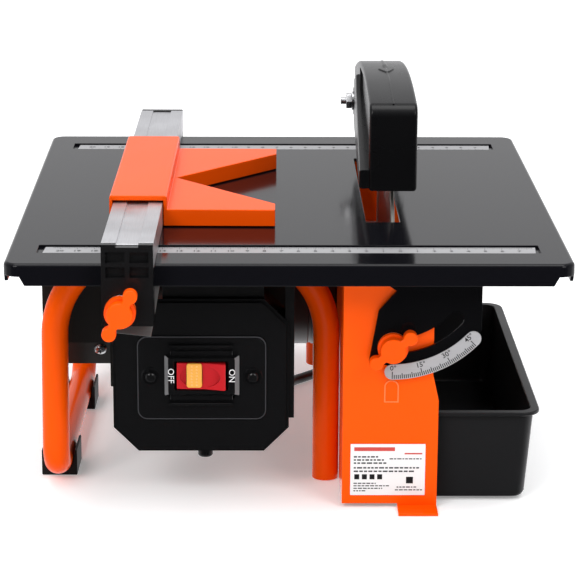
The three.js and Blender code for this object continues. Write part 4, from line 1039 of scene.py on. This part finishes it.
def make_guard_bolt():
    x = BLADE.x
    thread = [(0, -26.3), (2.1, -26.3), (2.5, -25.9)]
    for k in range(8):
        thread += [(2.5, -25.5 + k), (2.15, -25.1 + k), (2.5, -24.7 + k)]
    thread += [(2.5, 15.5), (0, 15.5)]
    stem = guard_axis_lathe(thread, x, 28)
    head = hexagon_piece(5, x + 14.8, x + 18.3)
    collar = guard_axis_lathe([(2.4, 13.7), (6.2, 13.7), (6.2, 14.7), (2.4, 14.7), (2.4, 13.7)], x, 40)
    piece("guard_bolt_finish", joined(stem, head, collar), M["steel"], "base", ["guard_bolt"])
    nut = hexagon_piece(5.6, x - 22.6, x - 18.6, 2.7)
    washer = guard_axis_lathe([(2.8, -17.7), (6.4, -17.7), (6.4, -18.5), (2.8, -18.5), (2.8, -17.7)], x, 40)
    piece("guard_nut_finish", joined(nut, washer), M["steel"], "base", ["guard_nut"])


make_guard_shell(-1)
make_guard_shell(1)
make_guard_arrow()
make_guard_bolt()


# ---------------------------------------------------------------- table
def table_perimeter(inset, radius):
    """Rounded rectangle with extra points near each corner, and each point's distance from its corner."""
    half_x = (TABLE_HIGH.x - TABLE_LOW.x) / 2 - inset
    half_y = (TABLE_HIGH.y - TABLE_LOW.y) / 2 - inset
    r = max(radius - inset, 1.2)
    stops = (0.5, 2.0, 3.5, 12.0)
    points = []
    for sx, sy, start in ((1, -1, -90), (1, 1, 0), (-1, 1, 90), (-1, -1, 180)):
        cx, cy = sx * (half_x - r), SHIFT_Y + sy * (half_y - r)
        corner_arc = arc(cx, cy, r, start, start + 90, 8)
        a, b = math.radians(start), math.radians(start + 90)
        into = (-math.sin(a), math.cos(a))
        out = (-math.sin(b), math.cos(b))
        first, last = corner_arc[0], corner_arc[-1]
        for s in stops[::-1]:
            points.append((first[0] - into[0] * s, first[1] - into[1] * s, s))
        points += [(x, y, 0.0) for x, y in corner_arc]
        for s in stops:
            points.append((last[0] + out[0] * s, last[1] + out[1] * s, s))
    return points


def make_table():
    low = TABLE_Z - 13.0
    ear_low = TABLE_Z - 7.6
    corner_r = 9.0

    def bottom(distance):
        if distance <= 0.5:
            return ear_low
        if distance >= 3.5:
            return low
        return ear_low + (low - ear_low) * (distance - 0.5) / 3.0

    def loop(inset, z=None, lift=0.0):
        perimeter = table_perimeter(inset, corner_r)
        return [(x, y, (bottom(d) + lift) if z is None else z) for x, y, d in perimeter]

    roll = 2.4
    loops = [loop(0.25), loop(0.0, None, 0.3)]
    for k in range(7):
        a = math.radians(90 * k / 6)
        loops.append(loop(roll * (1 - math.cos(a)), TABLE_Z - roll * (1 - math.sin(a))))
    outer = loops[::-1]
    inner = [loop(1.75), loop(2.0, None, 0.3), loop(2.0, TABLE_Z - 4.0), loop(2.6, TABLE_Z - 2.6),
             loop(3.8, TABLE_Z - 2.2)]
    sheet = loft(outer + inner)
    slot = rounded_rect(SLOT_LEFT, SLOT_RIGHT, SLOT_FRONT, SLOT_REAR, 1.0, 3)
    sheet = boolean(sheet, prism(slot, "z", TABLE_Z - 5, TABLE_Z + 3))
    for side in (-1, 1):
        y0, y1 = sorted((SHIFT_Y + side * 135.2, SHIFT_Y + side * 153.3))
        groove = rounded_rect(-147.5, 147.5, y0, y1, 0.9, 3)
        sheet = boolean(sheet, prism(groove, "z", TABLE_Z - 1.6, TABLE_Z + 2))

    def in_top(at):
        return abs(at.z - TABLE_Z) < 0.02 and abs(at.x) < 160 and abs(at.y - SHIFT_Y) < 170

    bevel(sheet, 0.45, 3, 40, in_top)
    piece("table_sheet", sheet, M["table_paint"], "table", ["table_top"], 30)


make_table()


# ---------------------------------------------------------------- rulers and tilt scale
STRIP_Z = TABLE_Z - 0.75


def text_mesh(text, size, thickness=0.05, bold=0.0):
    """Flat lettering in the x-y plane, centred on its own middle, in millimetres."""
    curve = bpy.data.curves.new("digits", "FONT")
    curve.body = text
    curve.size = size
    curve.align_x = "CENTER"
    curve.align_y = "CENTER"
    curve.extrude = thickness
    curve.offset = bold
    curve.resolution_u = 3
    obj = bpy.data.objects.new("digits", curve)
    bpy.context.scene.collection.objects.link(obj)
    bpy.context.view_layer.update()
    solid = obj.evaluated_get(bpy.context.evaluated_depsgraph_get())
    bm = bmesh.new()
    bm.from_mesh(solid.to_mesh())
    solid.to_mesh_clear()
    bpy.data.objects.remove(obj)
    bpy.data.curves.remove(curve)
    return bm


def ruler_plate(y0, y1):
    outline = [(-144.5, y0), (144.5, y0), (145.8, y1), (-143.5, y1)]
    return bevel(prism(outline, "z", TABLE_Z - 1.35, STRIP_Z), 0.12, 2)


def ruler_marks(edge_y, into, digits_y, zero_x):
    """Millimetre ticks from one edge, longer at 5 and 10 mm, and a number at each centimetre."""
    parts = []
    digits = []
    for step in range(-84, 205):
        x = zero_x - step
        if not -143.0 < x < 144.0:
            continue
        length = 4.6 if step % 10 == 0 else (3.4 if step % 5 == 0 else 2.2)
        y0, y1 = sorted((edge_y, edge_y + into * length))
        parts.append(block(x - 0.17, x + 0.17, y0, y1, STRIP_Z - 0.02, STRIP_Z + 0.03))
        if step % 10 == 0:
            number = text_mesh(str(abs(step) // 10), 4.6, 0.05, 0.07)
            digits.append(moved(number, (x, digits_y, STRIP_Z)))
    return joined(*parts, *digits)


def make_rulers():
    zero_x = 65.5
    for node, y0, y1 in (("ruler_front", -153.0, -137.4), ("ruler_rear", 135.5, 151.2)):
        plate = ruler_plate(SHIFT_Y + y0, SHIFT_Y + y1)
        piece(node + "_strip", plate, M["ruler_plate"], "table", [node])
        edge, into = (y1 - 0.4, -1) if node == "ruler_front" else (y0 + 0.4, 1)
        digits_y = SHIFT_Y + edge + into * 8.6
        marks = ruler_marks(SHIFT_Y + edge, into, digits_y, zero_x)
        piece(node + "_marks", marks, M["ink"], "table")


def polar(radius, degrees):
    a = math.radians(degrees - 90)
    return PIVOT.x + radius * math.cos(a), PIVOT.z + radius * math.sin(a)


def make_tilt_scale():
    low, high = box_mm("angle_scale")
    inner, outer = 60.8, 70.2
    middle, half = (inner + outer) / 2, (outer - inner) / 2
    last = 46.7
    tip = polar(middle, last)
    butt = polar(middle, 0)
    outline = arc(PIVOT.x, PIVOT.z, outer, -90, last - 90, 40)
    outline += arc(*tip, half, last - 90, last + 90, 12)[1:]
    outline += arc(PIVOT.x, PIVOT.z, inner, last - 90, -90, 40)[1:]
    outline += arc(*butt, half, 90, 270, 12)[1:-1]
    plate = bevel(prism(outline, "y", low.y, high.y), 0.15, 2)
    piece("tilt_scale_plate", plate, M["scale_plate"], "table", ["angle_scale"])
    marks = []
    for degree in range(46):
        long = 4.4 if degree % 15 == 0 else (3.3 if degree % 5 == 0 else 2.4)
        tick = block(-0.27, 0.27, low.y - 0.04, low.y + 0.02, -outer + 0.5, -outer + 0.5 + long)
        marks.append(moved(turned(tick, -degree, "Y"), (PIVOT.x, 0, PIVOT.z)))
    for degree in (0, 15, 30, 45):
        number = text_mesh(str(degree) + "°", 4.3, 0.05, 0.05)
        moved(turned(number, 90, "X"), (0.5, 0, -63.2))
        marks.append(moved(turned(number, -degree, "Y"), (PIVOT.x, low.y, PIVOT.z)))
    piece("tilt_scale_marks", joined(*marks), M["ink"], "table")


make_rulers()
make_tilt_scale()
refined("quadrant_front", "black_paint", 0.35, 2, 40)
refined("quadrant_rear", "black_paint", 0.35, 2, 40)


def make_pivot_pins():
    for node, sign in (("pivot_pin_front", -1), ("pivot_pin_rear", 1)):
        low, high = box_mm(node)
        y_head = low.y if sign < 0 else high.y
        y_tail = high.y if sign < 0 else low.y
        profile = [(0, y_head), (3.2, y_head), (4.2, y_head - sign * 0.9), (4.2, y_head - sign * 2.0),
                   (3, y_head - sign * 2.0), (3, y_tail + sign * 0.3), (2.7, y_tail), (0, y_tail)]
        pin = lathe(profile, "y", (PIVOT.x, 0, PIVOT.z), 32)
        piece(node + "_finish", pin, M["steel"], "base", [node])


make_pivot_pins()


# ---------------------------------------------------------------- two-lobed hand knobs
def knob_outline(body, lobe, reach, angle):
    """Disc with a round lobe on each side, the three circles joined by short necks, (x, z)."""
    steps = 18
    neck = lobe * 0.62
    points = []
    for flip in (0, 180):
        bearing = angle + flip
        body_half = math.degrees(math.asin(neck / body))
        lobe_half = math.degrees(math.asin(neck / lobe))
        a = math.radians(bearing)
        cx, cz = reach * math.cos(a), reach * math.sin(a)
        points += arc(cx, cz, lobe, bearing - 180 + lobe_half, bearing + 180 - lobe_half, steps)
        points += arc(0, 0, body, bearing + body_half, bearing + 180 - body_half, steps)
    return points


def make_knob(name, node, body_name, x, z, angle, facing):
    """Knob with its axis through (x, z), sized to its node along y; facing -1 looks to -y."""
    low, high = box_mm(node)
    total = high.y - low.y
    centre = (x, high.y if facing < 0 else low.y, z)
    body, lobe, reach, thick = 7.6, 4.2, 12.6, 6.6
    washer_radius = 8.7
    outline = knob_outline(body, lobe, reach, angle)
    front = prism(outline, "y", -total, -total + thick)
    bevel(front, 0.8, 4, 40)
    hub_front = -total + thick - 1
    hub = lathe([(2.9, hub_front), (9.1, hub_front + 0.5), (9.1, -1.4), (2.9, -1.4), (2.9, hub_front)],
                "y", (0, 0, 0), 48)
    parts = joined(front, hub)
    washer = lathe([(2.9, -1.2), (washer_radius, -1.2), (washer_radius + 0.3, -0.9),
                    (washer_radius + 0.3, -0.3), (2.9, -0.3), (2.9, -1.2)], "y", (0, 0, 0), 48)
    for bm in (parts, washer):
        if facing > 0:
            bmesh.ops.scale(bm, vec=(1, -1, 1), verts=bm.verts)
            bmesh.ops.reverse_faces(bm, faces=bm.faces)
        moved(bm, centre)
    piece(name, parts, M["orange_plastic"], body_name, [node], 40)
    piece(name + "_washer", washer, M["steel"], body_name)


def make_knobs():
    lock_z = PIVOT.z - LOCK_RADIUS
    make_knob("front_lock_knob", "lock_knob_front", "front_lock", PIVOT.x, lock_z, 38, -1)
    make_knob("rear_lock_knob", "lock_knob_rear", "rear_lock", PIVOT.x, lock_z, -38, 1)
    low, high = box_mm("fence_screw")
    screw_x = (low.x + high.x) / 2
    make_knob("fence_clamp_knob", "fence_knob", "fence_clamp_screw", screw_x, TABLE_Z - 23.4, 61, -1)


make_knobs()


# ---------------------------------------------------------------- rip fence and 45 degree guide
refined("fence_rail", "aluminium", 0.25, 2, 40)
refined("fence_hook_plate", "sheet_steel", 0.3, 2, 40)
refined("fence_clamp_front", "black_plastic", 0.7, 3, 40)
refined("fence_clamp_rear", "black_plastic", 0.7, 3, 40)
refined("angle_guide", "orange_plastic", 0.55, 3, 30)


# ---------------------------------------------------------------- switch box
COVER_FACE = SHIFT_Y - 141.0
ROCKER_X = -52.1
ROCKER_Z = TABLE_Z - 78.5
ROCKER_FACE = SHIFT_Y - 142.5
OPENING_LOW = 8.4
OPENING_HIGH = 9.3


def make_cover():
    refined("switch_box", "black_plastic", 1.0, 3, 40)
    refined("switch_cover", "cover_plastic", 0.9, 4, 30)
    head, ring_foot, ring_top = COVER_FACE - 1.3, COVER_FACE - 1.15, COVER_FACE - 1.7
    screw_z = TABLE_Z - 79.4
    for node, x in (("cover_screw_left", -82.2), ("cover_screw_right", -21.2)):
        profile = [(0, head - 2.7), (1.2, head - 2.62), (2.3, head - 2.25), (3.1, head - 1.6),
                   (3.6, head - 0.8), (3.75, head), (2.1, head), (2.1, head + 8), (0, head + 8)]
        screw = lathe(profile, "y", (x, 0, screw_z), 40)
        piece(node + "_dome", screw, M["cover_plastic"], "base", [node])
        ring = lathe([(4.1, ring_foot), (4.6, ring_top), (5.4, ring_top), (5.9, ring_foot), (4.1, ring_foot)],
                     "y", (x, 0, screw_z), 48)
        piece(node + "_seat", ring, M["cover_plastic"], "base")
    # Thin lighter-grey bead round the raised panel: a painted highlight on the panel's edge, not a part of its
    # own.
    outline = rounded_rect(-89.9, -13.6, TABLE_Z - 105.9, TABLE_Z - 54.8, 5.7, 8)
    rim = [(x, COVER_FACE - 0.88, z) for x, z in outline]
    piece("cover_panel_highlight_line", sweep(rim + rim[:1], 0.42, 10), M["panel_edge"], "base")


def framed_ridge(half_x, width, y_base, y_top, chamfer):
    """Closed rectangular ridge with sloping sides round the rocker, half as wide above and below it."""

    def loop(grow, y):
        left, right = half_x + grow * 0.86, half_x + grow
        low, high = OPENING_LOW + grow * 0.6, OPENING_HIGH + grow * 0.5
        return [(ROCKER_X + u, y, ROCKER_Z + v) for u, v in rounded_rect(-left, right, -low, high, 0.8, 3)]

    return loft([loop(width, y_base), loop(width - chamfer, y_top), loop(0.4, y_top), loop(0, y_top + 0.4),
                 loop(0, y_base + 3), loop(width, y_base + 3), loop(width, y_base)], False, False)


def make_switch_body():
    low = box_mm("switch_body")[0]
    plate_y = COVER_FACE - 1.2
    base = bevel(block(-70.5, -33.4, plate_y - 1.0, plate_y + 3, ROCKER_Z - 15.4, ROCKER_Z + 15.4), 0.4, 2)
    hole = block(ROCKER_X - 16, ROCKER_X + 16, -200, -100, ROCKER_Z - OPENING_LOW, ROCKER_Z + OPENING_HIGH)
    base = boolean(base, hole)
    ridge = framed_ridge(16.0, 6.8, plate_y - 0.8, low.y, 2.6)
    bars = bmesh.new()
    for side in (-1, 1):
        z = ROCKER_Z + 0.4 + side * 18.0
        add_mesh(bars, bevel(block(-71.5, -32.6, plate_y - 2.6, plate_y + 1, z - 0.9, z + 0.9), 0.7, 3))
        for x in (-70.5, -33.6):
            add_mesh(bars, lathe([(0, plate_y - 3.0), (0.7, plate_y - 2.9), (1.0, plate_y - 2.4),
                                  (1.0, plate_y), (0, plate_y)], "y", (x, 0, z), 20))
    tub = block(-70.8, -32.4, COVER_FACE + 2, SHIFT_Y - 114, ROCKER_Z - 12.6, ROCKER_Z + 12.6)
    tub = boolean(tub, block(ROCKER_X - 16.2, ROCKER_X + 16.2, -200, SHIFT_Y - 130.9, ROCKER_Z - OPENING_LOW,
                             ROCKER_Z + OPENING_HIGH))
    bezel = piece("switch_bezel", joined(base, ridge, bars, tub), M["cover_plastic"], "base",
                  ["switch_body"])
    # The bezel's sloped side faces beside the rocker get the lighter grey, a painted highlight on the bevels.
    bezel.data.materials.append(M["side_bevel_highlight"])
    for face in bezel.data.polygons:
        at_side = abs(face.center.x / MM - ROCKER_X) > 18 and abs(face.center.z / MM - ROCKER_Z) < 14
        if at_side and abs(face.normal.x) > 0.45 and face.normal.y < -0.3:
            face.material_index = 1


def make_rocker():
    face = ROCKER_FACE
    half_x, half_z = 15.0, 8.5
    outline = [(ROCKER_X - half_x + 0.4, face - 2.4), (ROCKER_X - 9, face - 2.9), (ROCKER_X + 1.4, face - 2.9)]
    outline += [(ROCKER_X + 1.4 + 2.2 * k, face - 2.9 - 3.3 * (k / 5.5) ** 1.25) for k in range(1, 6)]
    outline += [(ROCKER_X + half_x - 0.5, face - 6.0), (ROCKER_X + half_x - 0.3, face - 5.4),
                (ROCKER_X + half_x - 0.6, face + 1), (ROCKER_X + 5, face + 7), (ROCKER_X - 5, face + 7),
                (ROCKER_X - half_x + 0.6, face + 1)]
    paddle = bevel(prism(outline, "z", ROCKER_Z - OPENING_LOW + 0.5, ROCKER_Z + half_z), 0.5, 3, 45)
    key_way = block(ROCKER_X - 8.9, ROCKER_X + 0.9, face - 12, face + 4, ROCKER_Z - 4.3, ROCKER_Z + 4.3)
    paddle = boolean(paddle, key_way)
    ellipse = [(ROCKER_X - 0.6 + 12.0 * u, ROCKER_Z + 7.0 * v) for u, v in arc(0, 0, 1, 0, 352.5, 47)]
    for x0, x1, floor in ((-4, 14, -3.1), (-14, -4, -1.7)):
        dip = bevel(prism(ellipse, "y", face - 20, face + floor), 0.3, 2, 60)
        half = block(ROCKER_X + x0, ROCKER_X + x1, face - 30, face + 5, ROCKER_Z - 20, ROCKER_Z + 20)
        paddle = boolean(paddle, boolean(dip, half, "INTERSECT"))
    piece("rocker_paddle", paddle, M["red_plastic"], "switch_rocker", ["rocker"], 24)


def make_key():
    face = ROCKER_FACE
    x0, x1 = ROCKER_X - 8.6, ROCKER_X + 0.6
    cap = prism(rounded_rect(x0, x1, ROCKER_Z - 6.3, ROCKER_Z + 8.8, 1.6, 5), "y", face - 5.2, face - 3.2)
    bevel(cap, 0.6, 3, 40)
    stem = block(x0 + 0.3, x1 - 0.3, face - 3.6, face + 3.7, ROCKER_Z - 4, ROCKER_Z + 4)
    dots = bmesh.new()
    rows = 7
    for column in (-1, 1):
        for k in range(rows):
            z = ROCKER_Z + 1.25 + (k - (rows - 1) / 2) * 1.9
            x = (x0 + x1) / 2 + column * 1.5
            dot = lathe([(0, -0.35), (0.4, -0.3), (0.7, 0.1), (0, 0.15)], "y", (x, face - 5.2, z), 12)
            add_mesh(dots, dot)
    piece("safety_key_cap", joined(cap, stem), M["yellow_plastic"], "key", ["safety_key"])
    # The grip dots take a lighter yellow than the cap, painted glints on the bumps.
    piece("safety_key_dots", dots, M["key_dot_glint_yellow"], "key")


def make_switch_words():
    """OFF and ON beside the rocker, read from top to bottom."""
    low = box_mm("switch_body")[0]
    for text, x in (("OFF", ROCKER_X - 18.1), ("ON", ROCKER_X + 18.3)):
        word = text_mesh(text, 5.3, 0.04)
        moved(turned(turned(word, 90, "X"), 90, "Y"), (x, low.y, ROCKER_Z + 0.6))
        piece("switch_word_" + text.lower(), word, M["white_ink"], "base")


def make_reset():
    low, high = box_mm("reset_button")
    bottom, flange = low.z, high.z - 1.8
    profile = [(0, bottom), (2.4, bottom), (3.9, bottom + 0.5), (4.6, bottom + 1.4), (4.7, flange),
               (6.4, flange), (6.4, flange + 1.8), (0, flange + 1.8)]
    nub = lathe(profile, "z", (-50, SHIFT_Y - 129, 0), 40)
    piece("reset_nub", nub, M["black_plastic"], "reset", ["reset_button"])


make_cover()
make_switch_body()
make_rocker()
make_key()
make_switch_words()
make_reset()


# ---------------------------------------------------------------- water tray
def make_tray():
    low, high = box_mm("water_tray")
    wall, lip, draft = 2.2, 3.2, 4.2
    depth = high.z - low.z

    def loop(inset, z, r):
        outline = rounded_rect(low.x + inset, high.x - inset, low.y + inset, high.y - inset, r, 10)
        return [(x, y, z) for x, y in outline]

    def taper(z):
        return lip + draft * (1 - (z - low.z) / depth)

    loops = [loop(taper(low.z) + 3.0, low.z, 6), loop(taper(low.z) + 0.9, low.z + 0.8, 7.6),
             loop(taper(low.z + 3), low.z + 3, 8.4), loop(taper(high.z - 3.4), high.z - 3.4, 9.4),
             loop(lip + 0.1, high.z - 2.6, 9.4), loop(0.5, high.z - 2.4, 11), loop(0, high.z - 1.9, 11.5),
             loop(0, high.z - 0.5, 11.5), loop(0.5, high.z, 11), loop(lip + wall - 0.5, high.z, 8),
             loop(lip + wall, high.z - 0.5, 7.5), loop(taper(low.z + 5) + wall, low.z + 5, 6.4),
             loop(taper(low.z) + wall + 1.0, low.z + wall + 0.5, 5),
             loop(taper(low.z) + wall + 3, low.z + wall, 4)]
    piece("tray_shell", loft(loops), M["tray_plastic"], "tray", ["water_tray"], 30)


make_tray()


# ---------------------------------------------------------------- inner CAD nodes that stay, with a finish
KEPT = {
    "bearing_left": "steel",
    "bearing_right": "steel",
    "stator": "copper",
    "rotor": "steel",
    "cooling_fan": "black_plastic",
    "lock_stud_front": "steel",
    "lock_stud_rear": "steel",
    "fence_screw": "steel",
    "run_capacitor": "case",
}
for node_name, material_name in KEPT.items():
    node = NODES[node_name]
    node.data.materials.clear()
    node.data.materials.append(M[material_name])
    rounding = node.modifiers.new("edges", "BEVEL")     # the node's own mesh stays as it is
    rounding.width = 0.3 * MM
    rounding.segments = 2
    rounding.limit_method = "ANGLE"


# ---------------------------------------------------------------- floor and light
def make_floor():
    mesh = bpy.data.meshes.new("floor")
    size, level = 12.0, -0.0003
    corners = [(-size, -size, level), (size, -size, level), (size, size, level), (-size, size, level)]
    mesh.from_pydata(corners, [], [(0, 1, 2, 3)])
    material = bpy.data.materials.new("pale_floor")
    material.use_nodes = True
    shader = material.node_tree.nodes["Principled BSDF"]
    shader.inputs["Base Color"].default_value = (0.92, 0.92, 0.92, 1)
    shader.inputs["Roughness"].default_value = 0.9
    shader.inputs["Specular IOR Level"].default_value = 0.0
    shader.inputs["Emission Color"].default_value = (1, 1, 1, 1)
    shader.inputs["Emission Strength"].default_value = 0.26
    mesh.materials.append(material)
    floor = bpy.data.objects.new("floor", mesh)
    bpy.context.scene.collection.objects.link(floor)
    floor.visible_glossy = False


def make_world():
    """White surroundings behind, above and at both sides, dim in front of the object."""
    world = bpy.data.worlds.new("studio")
    world.use_nodes = True
    tree = world.node_tree
    background = tree.nodes["Background"]
    place = tree.nodes.new("ShaderNodeTexCoord")
    split = tree.nodes.new("ShaderNodeSeparateXYZ")
    tree.links.new(place.outputs["Generated"], split.inputs[0])

    def ranged(source, start, end, low, high):
        node = tree.nodes.new("ShaderNodeMapRange")
        node.interpolation_type = "SMOOTHSTEP"
        node.inputs["From Min"].default_value = start
        node.inputs["From Max"].default_value = end
        node.inputs["To Min"].default_value = low
        node.inputs["To Max"].default_value = high
        tree.links.new(source, node.inputs["Value"])
        return node.outputs["Result"]

    def calculated(operation, *sources):
        node = tree.nodes.new("ShaderNodeMath")
        node.operation = operation
        for socket, source in zip(node.inputs, sources):
            tree.links.new(source, socket)
        return node.outputs[0]

    level = ranged(split.outputs["Z"], -0.02, 0.06, 1.0, 0.62)
    behind = calculated("MULTIPLY", ranged(split.outputs["Y"], -0.35, 0.35, 0.0, 1.0), level)
    above = ranged(split.outputs["Z"], 0.45, 0.95, 0.0, 1.0)
    beside = ranged(calculated("ABSOLUTE", split.outputs["X"]), 0.70, 0.93, 0.0, 0.55)
    lit = calculated("MAXIMUM", calculated("MAXIMUM", behind, above), beside)
    strength = ranged(lit, 0.0, 1.0, 0.04, 1.12)
    tree.links.new(strength, background.inputs["Strength"])
    background.inputs["Color"].default_value = (0.985, 0.985, 1.0, 1)
    bpy.context.scene.world = world


def make_light(name, place, target, width, height, power):
    data = bpy.data.lights.new(name, "AREA")
    data.shape = "RECTANGLE"
    data.size = width
    data.size_y = height
    data.energy = power
    light = bpy.data.objects.new(name, data)
    bpy.context.scene.collection.objects.link(light)
    light.location = place
    direction = Vector(target) - Vector(place)
    light.rotation_euler = direction.to_track_quat("-Z", "Y").to_euler()


make_floor()
make_world()
make_light("key_left", (-1.1, -1.8, 1.5), (0, 0, 0.08), width=1.0, height=1.0, power=22)
make_light("key_right", (1.2, -1.7, 1.4), (0, 0, 0.08), width=0.9, height=0.9, power=15)
make_light("overhead", (0.0, -0.2, 1.9), (0, 0, 0.1), width=1.6, height=1.2, power=24)
bpy.context.scene.view_settings.view_transform = "Standard"
bpy.context.scene.view_settings.look = "None"
